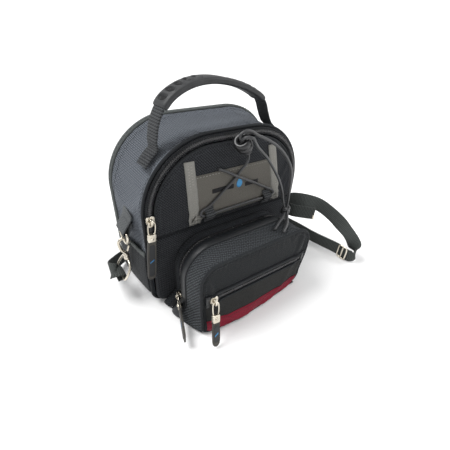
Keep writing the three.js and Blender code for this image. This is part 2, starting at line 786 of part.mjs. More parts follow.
function shoulderStrap() {
  // Each row: a point of the strap's middle line, then the direction of its width there.
  const bar = [RING_AXIS_X + 1.5 + EYE_REACH, EYE_BAR_Z];
  const wrap = 3.2;
  const y = [0, 1, 0];
  const route = [
    [[bar[0] + 7, 0, bar[1] - wrap - 0.5], y],
    [[bar[0] + 3.5, 0, bar[1] - wrap - 0.2], y],
    [[bar[0], 0, bar[1] - wrap], y],
    [[bar[0] - wrap, 0, bar[1]], y],
    [[bar[0], 0, bar[1] + wrap], y],
    [[bar[0] + 5, 0, bar[1] + wrap + 3.5], y],
    [[139, -2, 56], [0.05, 0.95, 0.2]],
    [[141, -12, 69], [0.1, 0.8, 0.5]],
    [[150, -30, 74], [0.2, 0.5, 0.8]],
    [[168, -47, 69], [0.25, 0.35, 0.9]],
    [[174, -70, 62], [0.25, 0.3, 0.92]],
    [[178, -90, 52], [0.4, 0.3, 0.86]],
    [[186, -103, 38], [0.5, 0.3, 0.8]],
    [[189, -112, 27], [0.4, 0.1, 0.85]],
    [[187, -119, 19], [0.1, 0.2, 1]],
    [[181, -122, 13], [0, 0, 1]],
    [[176.4, -117, 11.2], [0, 0, 1]],
    [[176, -108, 11], [0, 0, 1]],
    [[175.5, -94, 11], [0, 0, 1]],
    [[171, -75, 11], [0, 0, 1]],
    [[166, -53, 11], [0, 0, 1]],
    [[161, -15, 11], [0, 0, 1]],
    [[150, 25, 11], [0, 0, 1]],
    [[120, 58, 11], [0, 0, 1]],
    [[70, 70, 11], [0, 0, 1]],
    [[0, 73, 11], [0, 0, 1]],
    [[-70, 69, 11], [0, 0, 1]],
    [[-112, 58, 12], [0, 0.1, 1]],
    [[-132, 42, 17], [0.1, 0.45, 0.85]],
    [[-141, 24, 27], [0.1, 0.8, 0.55]],
    [[-143, 8, 36.5], [0.05, 0.97, 0.2]],
    [[-139.5, 1, 39.2], y],
    [[-bar[0], 0, bar[1] + wrap], y],
    [[wrap - bar[0], 0, bar[1]], y],
    [[-bar[0], 0, bar[1] - wrap], y],
    [[-bar[0] - 3.5, 0, bar[1] - wrap - 0.2], y],
    [[-bar[0] - 7, 0, bar[1] - wrap - 0.5], y],
  ];
  const points = route.map(([point]) => point);
  const widths = route.map(([, width]) => width);
  place("shoulder_strap", band(points, widths, STRAP_WIDTH, STRAP_THICK, 140), look.webbing);

  // The slide adjuster: a flat frame with a middle bar, beside the strap's lower run.
  const frame = box([172.4, -114, 0.5], [174.4, -98, 23.5]);
  const windows = [-109.7, -102.3].map((middle) => box([170, middle - 2.3, 2.8], [180, middle + 2.3, 21.2]));
  place("strap_slider", cut(frame, ...windows), look.metal);
}

// A folded webbing tab on the right, at the front edge of the gusset.
function compressionTab() {
  const line = [
    [109.6, -32.5, 75],
    [109.4, -37, 75],
    [113, -45.5, 74.6],
    [124, -56, 73.8],
    [136, -66, 73],
  ];
  place("compression_tab", band(line, line.map(() => [0, 0, 1]), 20, 2.6, 12), look.webbing);
}

// ---- The concentrator ----

function concentrator() {
  const { width, depth, bottom, top, corner, wall } = UNIT;
  const halfDepth = depth / 2;
  const innerCorner = corner - wall;
  const button = (x, z, radius, from, to) => rod([x, from, z], [x, to, z], radius, 24);
  const buttons = [
    ["power_button", 30, 162, 6.5],
    ["flow_button", 52, 162, 5],
  ];
  const fanCentre = [-38, 146];
  const fanRadius = 21;

  const half = (from, to, open) =>
    cut(
      roundedBlock(width, bottom, top, corner, from, to),
      roundedBlock(width - 2 * wall, bottom + wall, top - wall, innerCorner, open[0], open[1]),
    );
  const barbHole = rod([46, 8, top - 5], [46, 8, top + 5], 4, 20);
  const vents = Array.from({ length: 6 }, (_, i) =>
    box([-50, halfDepth - 5, 24 + i * 6], [50, halfDepth + 5, 27 + i * 6]),
  );
  place("unit_case_rear", cut(half(0.15, halfDepth, [-1, halfDepth - wall]), barbHole, ...vents), look.unitCase);

  const grille = Array.from({ length: 7 }, (_, i) => {
    const rise = (i - 3) * 5.4;
    const reach = Math.sqrt(fanRadius ** 2 - rise ** 2) - 2;
    const [x, z] = fanCentre;
    return box([x - reach, -halfDepth - 5, z + rise - 1.5], [x + reach, 5 - halfDepth, z + rise + 1.5]);
  });
  const holes = buttons.map(([, x, z, r]) => button(x, z, r + 0.4, -halfDepth - 5, 6 - halfDepth));
  place(
    "unit_case_front",
    cut(half(-halfDepth, -0.15, [wall - halfDepth, 1]), ...grille, ...holes),
    look.unitCase,
  );

  for (const [name, x, z, r] of buttons) {
    place(name, button(x, z, r, -halfDepth - 1.8, 4.5 - halfDepth), look.unitDark);
  }

  const inside = halfDepth - wall - 1;
  place("battery_pack", roundedBlock(width - 16, bottom + wall + 1, 44, 5, -inside, inside), look.unitDark);
  place(
    "compressor",
    join(
      rod([-38, 10.5, 52], [-38, 10.5, 100], 15, 28),
      box([-62, 1, 56], [-14, 22, 78]),
      rod([-38, 10.5, 99], [-38, 10.5, 112], 9, 20),
    ),
    look.aluminium,
  );
  for (const [name, x] of [["sieve_bed_left", 20], ["sieve_bed_right", 48]]) {
    const bed = [
      [0, 0], [11, 0], [12.5, 3], [12.5, 97], [11, 100], [5, 101], [5, 104], [0, 104],
    ];
    const profile = bed.map(([r, z]) => new THREE.Vector2(r, z));
    const tank = place(name, new THREE.LatheGeometry(profile, 28).rotateX(Math.PI / 2), look.aluminium);
    tank.position.set(x, 8, 48);
  }
  place("valve_manifold", box([4, -2, 152.6], [64, 18, 166]), look.unitDark);
  place("control_board", box([-8, -16.5, 60], [66, -15, 148]), look.board);
  place("intake_filter", box([-66, 2, 120], [-12, 20, 172]), look.foam);

  const [fx, fz] = fanCentre;
  const blade = (i) => {
    const turn = THREE.MathUtils.degToRad((360 / 7) * i);
    return box([4, -3, -1], [fanRadius - 2, 3, 1])
      .rotateX(THREE.MathUtils.degToRad(35))
      .rotateY(turn)
      .translate(fx, -14, fz);
  };
  const hub = rod([fx, -18, fz], [fx, -9, fz], 7, 20);
  place("cooling_fan", join(hub, ...Array.from({ length: 7 }, (_, i) => blade(i))), look.unitDark);

  const barb = [
    [0, 0], [6, 0], [6, 2.5], [3.4, 2.5], [3.4, 7.4], [2.4, 8], [3.2, 9], [2.2, 11], [3.1, 12], [2, 15], [0, 15],
  ];
  const profile = barb.map(([r, z]) => new THREE.Vector2(r, z));
  const outlet = place("outlet_barb", new THREE.LatheGeometry(profile, 20).rotateX(Math.PI / 2), look.metal);
  outlet.position.set(46, 8, top - wall - GAP - 2.5);
}

mainCompartment();
handle();
for (const side of [-1, 1]) {
  sidePocket(side);
  ringSet(side);
}
frontFlap();
laceTails();
frontPocket();
zips();
shoulderStrap();
compressionTab();
concentrator();

export default object;
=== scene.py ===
"""The looks of a portable oxygen concentrator's soft carry bag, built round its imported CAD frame.

The frame's own units are metres. Sizes here are written in millimetres and pass through mm() or MM.
+Z is up, -Y is the front of the bag, and the origin is the middle of the base's underside.
"""

import json
import math
from dataclasses import dataclass, replace

import bmesh
import bpy
import numpy as np
from mathutils import Matrix, Vector
from mathutils.bvhtree import BVHTree

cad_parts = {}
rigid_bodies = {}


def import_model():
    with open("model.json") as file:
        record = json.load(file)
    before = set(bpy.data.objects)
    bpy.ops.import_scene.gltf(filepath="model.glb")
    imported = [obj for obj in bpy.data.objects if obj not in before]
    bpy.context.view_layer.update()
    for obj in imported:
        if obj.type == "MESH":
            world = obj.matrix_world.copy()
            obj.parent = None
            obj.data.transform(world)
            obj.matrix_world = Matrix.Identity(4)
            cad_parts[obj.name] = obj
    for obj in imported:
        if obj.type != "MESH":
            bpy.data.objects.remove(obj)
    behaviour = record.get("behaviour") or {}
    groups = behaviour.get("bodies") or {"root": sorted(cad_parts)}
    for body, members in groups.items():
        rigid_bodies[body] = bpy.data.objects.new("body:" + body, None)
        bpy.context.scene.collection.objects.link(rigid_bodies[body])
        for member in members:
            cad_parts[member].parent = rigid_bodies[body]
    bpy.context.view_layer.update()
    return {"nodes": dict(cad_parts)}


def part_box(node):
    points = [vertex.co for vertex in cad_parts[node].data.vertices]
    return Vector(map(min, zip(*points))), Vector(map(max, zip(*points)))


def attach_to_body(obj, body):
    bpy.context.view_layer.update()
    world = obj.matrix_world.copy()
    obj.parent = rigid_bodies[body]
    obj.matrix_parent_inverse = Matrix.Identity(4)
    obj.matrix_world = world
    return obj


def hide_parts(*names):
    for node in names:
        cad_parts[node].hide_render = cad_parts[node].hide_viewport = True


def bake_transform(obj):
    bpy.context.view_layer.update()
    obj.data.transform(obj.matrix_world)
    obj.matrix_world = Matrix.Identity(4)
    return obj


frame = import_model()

MM = 0.001
scene = bpy.context.scene


def mm(*values):
    """A point given in millimetres, as an array in metres."""
    return np.array(values, float) * MM


def points_mm(rows):
    return np.array(rows, float) * MM


# ---- Camera, floor and light ----

CAMERA_AT = mm(-189.7, -295.0, 305.7)
CAMERA_AZIMUTH = -35.82
CAMERA_ELEVATION = 34.82
CAMERA_ROLL = 3.05
CAMERA_LENS = 24.03


def make_camera():
    azimuth, elevation, roll = map(math.radians, (CAMERA_AZIMUTH, CAMERA_ELEVATION, CAMERA_ROLL))
    flat = math.cos(elevation)
    back = Vector((math.sin(azimuth) * flat, -math.cos(azimuth) * flat, math.sin(elevation)))
    right = (-back).cross(Vector((0, 0, 1))).normalized()
    up = right.cross(-back)
    tilted_right = right * math.cos(roll) + up * math.sin(roll)
    tilted_up = up * math.cos(roll) - right * math.sin(roll)
    camera = bpy.data.objects.new("camera", bpy.data.cameras.new("camera"))
    scene.collection.objects.link(camera)
    matrix = Matrix.Identity(4)
    for row in range(3):
        matrix[row][0] = tilted_right[row]
        matrix[row][1] = tilted_up[row]
        matrix[row][2] = back[row]
        matrix[row][3] = CAMERA_AT[row]
    camera.matrix_world = matrix
    camera.data.sensor_width = 36
    camera.data.lens = CAMERA_LENS
    camera.data.clip_start = 0.01
    camera.data.clip_end = 20
    scene.camera = camera


def area_light(name, at, target, size, energy, color=(1, 1, 1)):
    data = bpy.data.lights.new(name, "AREA")
    data.shape = "DISK"
    data.size = size
    data.energy = energy
    data.color = color
    light = bpy.data.objects.new(name, data)
    scene.collection.objects.link(light)
    light.location = at
    light.rotation_mode = "QUATERNION"
    light.rotation_quaternion = (Vector(target) - Vector(at)).to_track_quat("-Z", "Y")


def sun_light(name, toward, energy, angle):
    """A broad, distant light. toward points from the bag to the light."""
    data = bpy.data.lights.new(name, "SUN")
    data.energy = energy
    data.angle = math.radians(angle)
    light = bpy.data.objects.new(name, data)
    scene.collection.objects.link(light)
    light.rotation_mode = "QUATERNION"
    light.rotation_quaternion = Vector(toward).to_track_quat("Z", "Y")


FLOOR_SIDES = 64
FLOOR_RINGS = [
    (0.0, 0.0), (1.5, 0.0), (4.0, 0.0), (6.0, 0.0), (7.0, 0.05), (8.5, 0.25), (11.0, 0.85), (14.0, 1.7),
]


def make_floor():
    """A wide disc that rises gently towards its rim."""
    count = FLOOR_SIDES
    angles = np.linspace(0, 2 * math.pi, count, endpoint=False)
    verts = [(0.0, 0.0, 0.0)]
    for radius, height in FLOOR_RINGS[1:]:
        verts += [(radius * math.cos(t), radius * math.sin(t), height) for t in angles]
    around = [(k, (k + 1) % count) for k in range(count)]
    faces = [(0, 1 + k, 1 + n) for k, n in around]
    for ring in range(len(FLOOR_RINGS) - 2):
        inner = 1 + ring * count
        outer = inner + count
        faces += [(inner + k, outer + k, outer + n, inner + n) for k, n in around]
    mesh = bpy.data.meshes.new("floor")
    mesh.from_pydata(verts, [], faces)
    floor = bpy.data.objects.new("floor", mesh)
    scene.collection.objects.link(floor)
    material = bpy.data.materials.new("floor")
    material.use_nodes = True
    shader = material.node_tree.nodes["Principled BSDF"]
    shader.inputs["Base Color"].default_value = (0.95, 0.95, 0.95, 1)
    shader.inputs["Roughness"].default_value = 0.9
    mesh.materials.append(material)


def make_stage():
    world = bpy.data.worlds.new("studio")
    world.use_nodes = True
    world.node_tree.nodes["Background"].inputs["Color"].default_value = (1, 1, 1, 1)
    world.node_tree.nodes["Background"].inputs["Strength"].default_value = 0.62
    scene.world = world
    scene.view_settings.view_transform = "Standard"
    sun_light("key", (-0.5, 0.45, 1.0), 2.6, 30)
    area_light("front", (0.5, -1.1, 0.9), (0, -0.05, 0.1), 0.5, 2)
    area_light("side", (1.0, -0.4, 1.0), (0.05, -0.03, 0.1), 0.5, 5)
    make_floor()


# ---- Materials ----


class Graph:
    """Short names for building a material's nodes."""

    def __init__(self, name):
        self.material = bpy.data.materials.new(name)
        self.material.use_nodes = True
        self.tree = self.material.node_tree
        self.shader = self.tree.nodes["Principled BSDF"]

    def node(self, kind, settings=None, **inputs):
        made = self.tree.nodes.new(kind)
        for key, value in (settings or {}).items():
            setattr(made, key, value)
        for key, value in inputs.items():
            self.feed(made.inputs[key.replace("_", " ")], value)
        return made

    def feed(self, socket, value):
        if isinstance(value, bpy.types.NodeSocket):
            self.tree.links.new(value, socket)
        else:
            socket.default_value = value

    def math(self, operation, a, b=0.0, c=None):
        made = self.node("ShaderNodeMath", {"operation": operation})
        self.feed(made.inputs[0], a)
        self.feed(made.inputs[1], b)
        if c is not None:
            self.feed(made.inputs[2], c)
        return made.outputs[0]

    def mix(self, share, a, b):
        made = self.node("ShaderNodeMix", {"data_type": "FLOAT"})
        self.feed(made.inputs[0], share)
        self.feed(made.inputs[2], a)
        self.feed(made.inputs[3], b)
        return made.outputs[0]

    def mix_color(self, share, a, b):
        made = self.node("ShaderNodeMix", {"data_type": "RGBA"})
        self.feed(made.inputs[0], share)
        self.feed(made.inputs[6], a)
        self.feed(made.inputs[7], b)
        return made.outputs[2]

    def ramp(self, value, low, high):
        made = self.node("ShaderNodeMapRange", {"interpolation_type": "SMOOTHSTEP"})
        self.feed(made.inputs["Value"], value)
        made.inputs["From Min"].default_value = low
        made.inputs["From Max"].default_value = high
        return made.outputs["Result"]

    def coordinates(self, source="UV"):
        return self.node("ShaderNodeTexCoord").outputs[source]

    def noise(self, vector, scale, detail=3.0):
        made = self.node("ShaderNodeTexNoise", Vector=vector, Scale=scale, Detail=detail)
        return made.outputs["Fac"]

    def finish(self, color, roughness, height=None, distance=0.0002, strength=1.0, **constants):
        self.feed(self.shader.inputs["Base Color"], color)
        self.feed(self.shader.inputs["Roughness"], roughness)
        for key, value in constants.items():
            self.shader.inputs[key.replace("_", " ")].default_value = value
        if height is not None:
            bump = self.node("ShaderNodeBump", Height=height, Distance=distance, Strength=strength)
            self.tree.links.new(bump.outputs["Normal"], self.shader.inputs["Normal"])
        return self.material


def rgba(*color):
    return (*color, 1.0)


def weave(name, dark, light, pitch, turn=0.0, depth=0.35, rough=0.75, sheen=0.04, cloud=0.2, across=1.0):
    """Woven cloth: warp and weft threads that pass over and under each other. UVs are in metres."""
    g = Graph(name)
    uv = g.coordinates()
    turned = g.node(
        "ShaderNodeVectorRotate", {"rotation_type": "Z_AXIS"}, Vector=uv, Angle=math.radians(turn)
    )
    split = g.node("ShaderNodeSeparateXYZ", Vector=turned.outputs[0])
    step_u = math.pi / (pitch * MM * across)
    step_v = math.pi / (pitch * MM)
    wave_u = g.math("SINE", g.math("MULTIPLY", split.outputs[0], step_u))
    wave_v = g.math("SINE", g.math("MULTIPLY", split.outputs[1], step_v))
    over = g.math("GREATER_THAN", g.math("MULTIPLY", wave_u, wave_v), 0.0)
    warp = g.math("ABSOLUTE", wave_u)
    weft = g.math("ABSOLUTE", wave_v)
    height = g.mix(over, g.math("MULTIPLY", warp, g.math("MULTIPLY_ADD", weft, 0.35, 0.55)), weft)
    fibre = g.noise(uv, 1.0 / (0.35 * pitch * MM), 2.0)
    height = g.math("MULTIPLY_ADD", fibre, 0.25, height)
    large = g.noise(g.coordinates("Object"), 22.0, 4.0)
    # The colour follows the thread height: darker in the hollows where a thread passes under, lighter on the
    # raised crossings. This is painted shade and painted highlight.
    shade = g.ramp(height, 0.25, 1.05)
    base = g.mix_color(shade, rgba(*dark), rgba(*light))
    dust = g.ramp(large, 0.45, 0.75)
    pale = tuple(0.8 * c + 0.008 for c in light)
    color = g.mix_color(g.math("MULTIPLY", dust, cloud), base, rgba(*pale))
    roughness = g.mix(large, rough - 0.08, rough + 0.1)
    return g.finish(
        color, roughness, height, depth * pitch * MM, 0.9,
        Sheen_Weight=sheen, Sheen_Roughness=0.4, Specular_IOR_Level=0.13,
    )


def webbing(name, dark, light, pitch=1.7, rough=0.7):
    """Strap webbing: slanted ribs across its width, each of fine threads. U runs round it."""
    g = Graph(name)
    uv = g.coordinates()
    split = g.node("ShaderNodeSeparateXYZ", Vector=uv)
    thread = g.math("MULTIPLY", split.outputs[0], math.pi / (0.9 * MM))
    lean = g.math("MULTIPLY_ADD", g.math("PINGPONG", split.outputs[0], 1.8 * MM), 0.55, split.outputs[1])
    rib = g.math("ABSOLUTE", g.math("SINE", g.math("MULTIPLY", lean, math.pi / (pitch * MM))))
    fine = g.math("ABSOLUTE", g.math("SINE", thread))
    fibre = g.noise(uv, 2600.0, 2.0)
    height = g.math(
        "ADD", g.math("MULTIPLY", rib, g.math("MULTIPLY_ADD", fine, 0.4, 0.6)),
        g.math("MULTIPLY", fibre, 0.2),
    )
    large = g.noise(g.coordinates("Object"), 30.0, 3.0)
    # The colour follows the rib height: darker in the grooves between ribs, lighter on their tops. This is
    # painted shade and painted highlight.
    color = g.mix_color(g.ramp(height, 0.15, 1.0), rgba(*dark), rgba(*light))
    color = g.mix_color(g.math("MULTIPLY", large, 0.2), color, rgba(*(0.8 * c + 0.006 for c in light)))
    return g.finish(color, rough, height, 0.5 * MM, 1.0, Sheen_Weight=0.04, Specular_IOR_Level=0.22)


def knit(name, dark, light, cell=2.6, rough=0.85):
    """Spacer mesh: rounded cells with a dark hole in each."""
    g = Graph(name)
    uv = g.coordinates()
    cells = g.node(
        "ShaderNodeTexVoronoi", {"feature": "F1", "distance": "EUCLIDEAN"},
        Vector=uv, Scale=1.0 / (cell * MM), Randomness=0.12,
    )
    wall = g.ramp(cells.outputs["Distance"], 0.16, 0.42)
    fibre = g.noise(uv, 2400.0, 2.0)
    height = g.math("MULTIPLY_ADD", fibre, 0.15, wall)
    # The holes are coloured dark for the shade inside them: painted shade.
    color = g.mix_color(wall, rgba(*dark), rgba(*light))
    return g.finish(color, rough, height, 0.6 * MM, 1.0, Sheen_Weight=0.05, Specular_IOR_Level=0.2)


def coated(name, dark, light, rough=0.35, grain=650.0, bump=0.12):
    """Smooth coated cloth with a fine leathery grain and soft creases."""
    g = Graph(name)
    at = g.coordinates("Object")
    cells = g.node("ShaderNodeTexVoronoi", {"feature": "DISTANCE_TO_EDGE"}, Vector=at, Scale=grain)
    edge = g.ramp(cells.outputs["Distance"], 0.0, 0.35)
    crease = g.noise(at, 60.0, 5.0)
    height = g.math("MULTIPLY_ADD", crease, 1.2, edge)
    # The colour follows the crease noise that also drives the bump, so the crease hollows are darker:
    # painted shade.
    color = g.mix_color(crease, rgba(*dark), rgba(*light))
    return g.finish(
        color, g.mix(crease, rough - 0.06, rough + 0.14), height, bump * MM, 0.8, Specular_IOR_Level=0.5
    )


def moulded(name, dark, light, rough=0.5, grain=900.0, bump=0.06, metal=0.0, wear=0.15, spec=0.5):
    """Moulded rubber or plastic, or plated metal: a fine surface grain, smudges and slight colour drift."""
    g = Graph(name)
    at = g.coordinates("Object")
    grainy = g.noise(at, grain, 2.0)
    smudge = g.noise(at, 45.0, 5.0)
    color = g.mix_color(g.ramp(smudge, 0.3, 0.7), rgba(*dark), rgba(*light))
    roughness = g.mix(smudge, max(rough - wear, 0.05), min(rough + wear, 1.0))
    return g.finish(color, roughness, grainy, bump * MM, 0.5, Metallic=metal, Specular_IOR_Level=spec)


def braid(name, dark, light):
    """The braided sleeve of a bungee cord: two sets of threads that cross on a slant."""
    g = Graph(name)
    split = g.node("ShaderNodeSeparateXYZ", Vector=g.coordinates())
    u = g.math("MULTIPLY", split.outputs[0], math.pi / (1.1 * MM))
    v = g.math("MULTIPLY", split.outputs[1], math.pi / (1.4 * MM))
    one = g.math("ABSOLUTE", g.math("SINE", g.math("ADD", u, v)))
    two = g.math("ABSOLUTE", g.math("SINE", g.math("SUBTRACT", u, v)))
    height = g.math("MAXIMUM", one, two)
    # The colour follows the braid height: darker where the strands dip under each other, lighter on top.
    # This is painted shade and painted highlight.
    color = g.mix_color(g.ramp(height, 0.4, 1.0), rgba(*dark), rgba(*light))
    return g.finish(color, 0.38, height, 0.2 * MM, 0.6, Sheen_Weight=0.1, Specular_IOR_Level=0.7)


LOOKS = {
    "ballistic": weave(
        "ballistic_nylon", (0.026, 0.030, 0.037), (0.176, 0.194, 0.222), 2.3, depth=0.4, cloud=0.3
    ),
    "textured": weave(
        "textured_nylon", (0.003, 0.003, 0.004), (0.036, 0.039, 0.044), 2.3, turn=45, depth=0.5
    ),
    "ribbed": weave(
        "ribbed_nylon", (0.003, 0.003, 0.004), (0.072, 0.079, 0.086), 2.8, turn=38, depth=0.5, across=0.7
    ),
    "shaded": weave("shaded_nylon", (0.003, 0.003, 0.004), (0.034, 0.038, 0.043), 2.3, turn=45, depth=0.5),
    "smooth": weave(
        "smooth_nylon", (0.006, 0.007, 0.008), (0.020, 0.022, 0.024), 0.9, depth=0.25, rough=0.65
    ),
    "lining": weave("lining_nylon", (0.006, 0.006, 0.007), (0.020, 0.022, 0.025), 0.6, depth=0.15),
    "brown": weave("lower_nylon", (0.011, 0.011, 0.011), (0.034, 0.034, 0.033), 0.9, depth=0.3),
    "red": weave(
        "red_nylon", (0.120, 0.005, 0.013), (0.270, 0.015, 0.037), 0.9, depth=0.25, cloud=0.05, rough=0.6
    ),
    "grey": weave("label_nylon", (0.074, 0.070, 0.061), (0.150, 0.142, 0.126), 0.9, depth=0.25, cloud=0.1),
    "strip": weave("strip_nylon", (0.155, 0.151, 0.138), (0.310, 0.304, 0.282), 1.1, depth=0.3, cloud=0.1),
    "tape": weave("zip_tape", (0.004, 0.004, 0.005), (0.018, 0.019, 0.021), 1.2, turn=45, depth=0.4),
    # The binding's colour is lifted about 1.6 times so the back edge, which lies in shadow, doesn't read as
    # a black line: painted light. The side pockets' hems share it.
    "binding": weave("binding_tape", (0.050, 0.056, 0.056), (0.150, 0.163, 0.160), 1.2, depth=0.4),
    "piping": weave("piping_cloth", (0.008, 0.009, 0.010), (0.034, 0.037, 0.041), 1.1, turn=45, depth=0.35),
    "mesh": knit("spacer_mesh", (0.004, 0.004, 0.005), (0.036, 0.039, 0.042)),
    "webbing": webbing("handle_webbing", (0.003, 0.003, 0.004), (0.060, 0.064, 0.068), pitch=3.0),
    "strap": webbing("strap_webbing", (0.012, 0.014, 0.013), (0.072, 0.080, 0.076), pitch=2.2),
    "tab": webbing("tab_webbing", (0.028, 0.031, 0.033), (0.110, 0.118, 0.122), pitch=2.2),
    "gloss": coated("coated_black", (0.006, 0.007, 0.008), (0.016, 0.018, 0.021)),
    "grip": moulded(
        "grip_rubber", (0.016, 0.017, 0.018), (0.032, 0.033, 0.035), rough=0.5, bump=0.1, spec=0.35
    ),
    # A darker copy of the grip rubber for the floors of the oval recesses: painted shade in the hollows.
    "recess": moulded("grip_recess", (0.004, 0.004, 0.004), (0.008, 0.008, 0.009), rough=0.6, spec=0.2),
    "pull": moulded(
        "pull_rubber", (0.040, 0.037, 0.033), (0.070, 0.066, 0.059), rough=0.5, bump=0.08, spec=0.3
    ),
    "inset": moulded("pull_inset", (0.004, 0.005, 0.007), (0.010, 0.012, 0.015), rough=0.35),
    "blue": moulded("blue_accent", (0.020, 0.150, 0.360), (0.035, 0.240, 0.480), rough=0.45),
    "ink": moulded("label_ink", (0.010, 0.010, 0.011), (0.018, 0.018, 0.020), rough=0.7, spec=0.2),
    "metal": moulded(
        "pale_nickel", (0.56, 0.51, 0.42), (0.78, 0.73, 0.63), rough=0.27, grain=500, bump=0.03, metal=1
    ),
    "plastic": moulded("black_plastic", (0.008, 0.008, 0.009), (0.018, 0.018, 0.020), rough=0.32),
    "coil": moulded(
        "zip_coil", (0.018, 0.018, 0.019), (0.050, 0.050, 0.053), rough=0.24, bump=0.02, spec=0.9
    ),
    "cord": braid("bungee_braid", (0.003, 0.003, 0.004), (0.022, 0.023, 0.026)),
    "thread": moulded("dark_thread", (0.022, 0.024, 0.028), (0.060, 0.065, 0.072), rough=0.6, spec=0.2),
    "pale_thread": moulded("pale_thread", (0.230, 0.222, 0.200), (0.380, 0.366, 0.330), rough=0.6, spec=0.2),
    "case": moulded(
        "case_plastic", (0.60, 0.62, 0.64), (0.70, 0.72, 0.74), rough=0.45, grain=1500, bump=0.08
    ),
    "dark_plastic": moulded(
        "dark_plastic", (0.030, 0.034, 0.040), (0.055, 0.060, 0.068), rough=0.5, grain=1500
    ),
    "aluminium": moulded(
        "aluminium", (0.55, 0.56, 0.57), (0.70, 0.71, 0.72), rough=0.35, grain=300, metal=1
    ),
    "board": moulded("solder_mask", (0.010, 0.100, 0.040), (0.016, 0.150, 0.060), rough=0.4),
    "foam": moulded(
        "filter_foam", (0.020, 0.020, 0.022), (0.055, 0.055, 0.060), rough=0.95, grain=700, bump=0.8
    ),
}


# ---- Mesh builders ----


def piece(name, verts, faces, look, uv=None, smooth=True):
    """A mesh object from points in metres. uv holds one pair for each corner of each face, in metres."""
    mesh = bpy.data.meshes.new(name)
    mesh.from_pydata([tuple(map(float, v)) for v in verts], [], [tuple(map(int, f)) for f in faces])
    if uv is not None:
        layer = mesh.uv_layers.new(name="UVMap")
        layer.data.foreach_set("uv", np.array(uv, np.float32).ravel())
    mesh.polygons.foreach_set("use_smooth", [smooth] * len(mesh.polygons))
    mesh.materials.append(LOOKS[look])
    obj = bpy.data.objects.new(name, mesh)
    scene.collection.objects.link(obj)
    return obj


def attach(obj, body, slot, *nodes):
    """Rides a piece on a body and hides the CAD nodes that it stands for. slot is not used."""
    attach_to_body(obj, body)
    if nodes:
        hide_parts(*nodes)


def coordinates_of(mesh):
    return np.array([v.co for v in mesh.vertices])


def move_points(mesh, points):
    mesh.vertices.foreach_set("co", np.asarray(points, np.float32).ravel())
    mesh.update()


def cumulative(points):
    """Lengths along the mean of several lines of points, from 0."""
    steps = np.linalg.norm(np.diff(points, axis=1), axis=2).mean(axis=0)
    return np.concatenate([[0], np.cumsum(steps)])


def grid_mesh(points, wrap=False, cap=False):
    """(verts, faces, uv) of a surface through rows of points. wrap joins each row's end to its start."""
    rows, cols = points.shape[:2]
    looped = np.concatenate([points, points[:, :1]], axis=1) if wrap else points
    u = cumulative(looped)
    v = cumulative(points.transpose(1, 0, 2))
    faces, uv = [], []
    for i in range(rows - 1):
        for j in range(cols if wrap else cols - 1):
            k = (j + 1) % cols
            faces.append((i * cols + j, i * cols + k, (i + 1) * cols + k, (i + 1) * cols + j))
            uv += [(u[j], v[i]), (u[j + 1], v[i]), (u[j + 1], v[i + 1]), (u[j], v[i + 1])]
    if cap:
        first = list(range(cols))[::-1]
        last = [(rows - 1) * cols + j for j in range(cols)]
        for ring in (first, last):
            faces.append(tuple(ring))
            uv += [(u[n % cols], v[0]) for n in ring]
    return points.reshape(-1, 3), faces, uv


def unit(vectors):
    return vectors / np.maximum(np.linalg.norm(vectors, axis=-1, keepdims=True), 1e-12)


def resample(points, count, closed=False):
    """count points at even distances along a polyline."""
    line = np.vstack([points, points[:1]]) if closed else points
    lengths = np.concatenate([[0], np.cumsum(np.linalg.norm(np.diff(line, axis=0), axis=1))])
    wanted = np.linspace(0, lengths[-1], count, endpoint=not closed)
    return np.stack([np.interp(wanted, lengths, line[:, k]) for k in range(line.shape[1])], axis=1)


def spline(controls, spacing, closed=False):
    """A centripetal Catmull-Rom curve through control points, at an even spacing in metres."""
    p = np.asarray(controls, float)
    if closed:
        p = np.vstack([p[-1:], p, p[:2]])
    else:
        p = np.vstack([2 * p[:1] - p[1:2], p, 2 * p[-1:] - p[-2:-1]])
    dense = []
    for i in range(1, len(p) - 2):
        a, b, c, d = p[i - 1], p[i], p[i + 1], p[i + 2]
        knots = [0.0]
        for s, e in ((a, b), (b, c), (c, d)):
            knots.append(knots[-1] + max(np.linalg.norm(e - s) ** 0.5, 1e-6))
        t0, t1, t2, t3 = knots
        t = np.linspace(t1, t2, 24, endpoint=False)[:, None]
        a1 = (t1 - t) / (t1 - t0) * a + (t - t0) / (t1 - t0) * b
        a2 = (t2 - t) / (t2 - t1) * b + (t - t1) / (t2 - t1) * c
        a3 = (t3 - t) / (t3 - t2) * c + (t - t2) / (t3 - t2) * d
        b1 = (t2 - t) / (t2 - t0) * a1 + (t - t0) / (t2 - t0) * a2
        b2 = (t3 - t) / (t3 - t1) * a2 + (t - t1) / (t3 - t1) * a3
        dense.append((t2 - t) / (t2 - t1) * b1 + (t - t1) / (t2 - t1) * b2)
    dense = np.vstack(dense + ([] if closed else [p[-2:-1]]))
    total = np.linalg.norm(np.diff(dense, axis=0), axis=1).sum()
    return resample(dense, max(4, int(round(total / spacing)) + 1), closed)


def tangents(path, closed=False):
    if closed:
        return unit(np.roll(path, -1, axis=0) - np.roll(path, 1, axis=0))
    return unit(np.gradient(path, axis=0))


def carried_normals(path, closed=False):
    """Normals carried along a path without twist."""
    along = tangents(path, closed)
    seed = np.array([0, 0, 1.0]) if abs(along[0][2]) < 0.9 else np.array([1.0, 0, 0])
    normal = unit(seed - seed.dot(along[0]) * along[0])
    out = []
    for t in along:
        normal = unit(normal - normal.dot(t) * t)
        out.append(normal)
    return np.array(out)


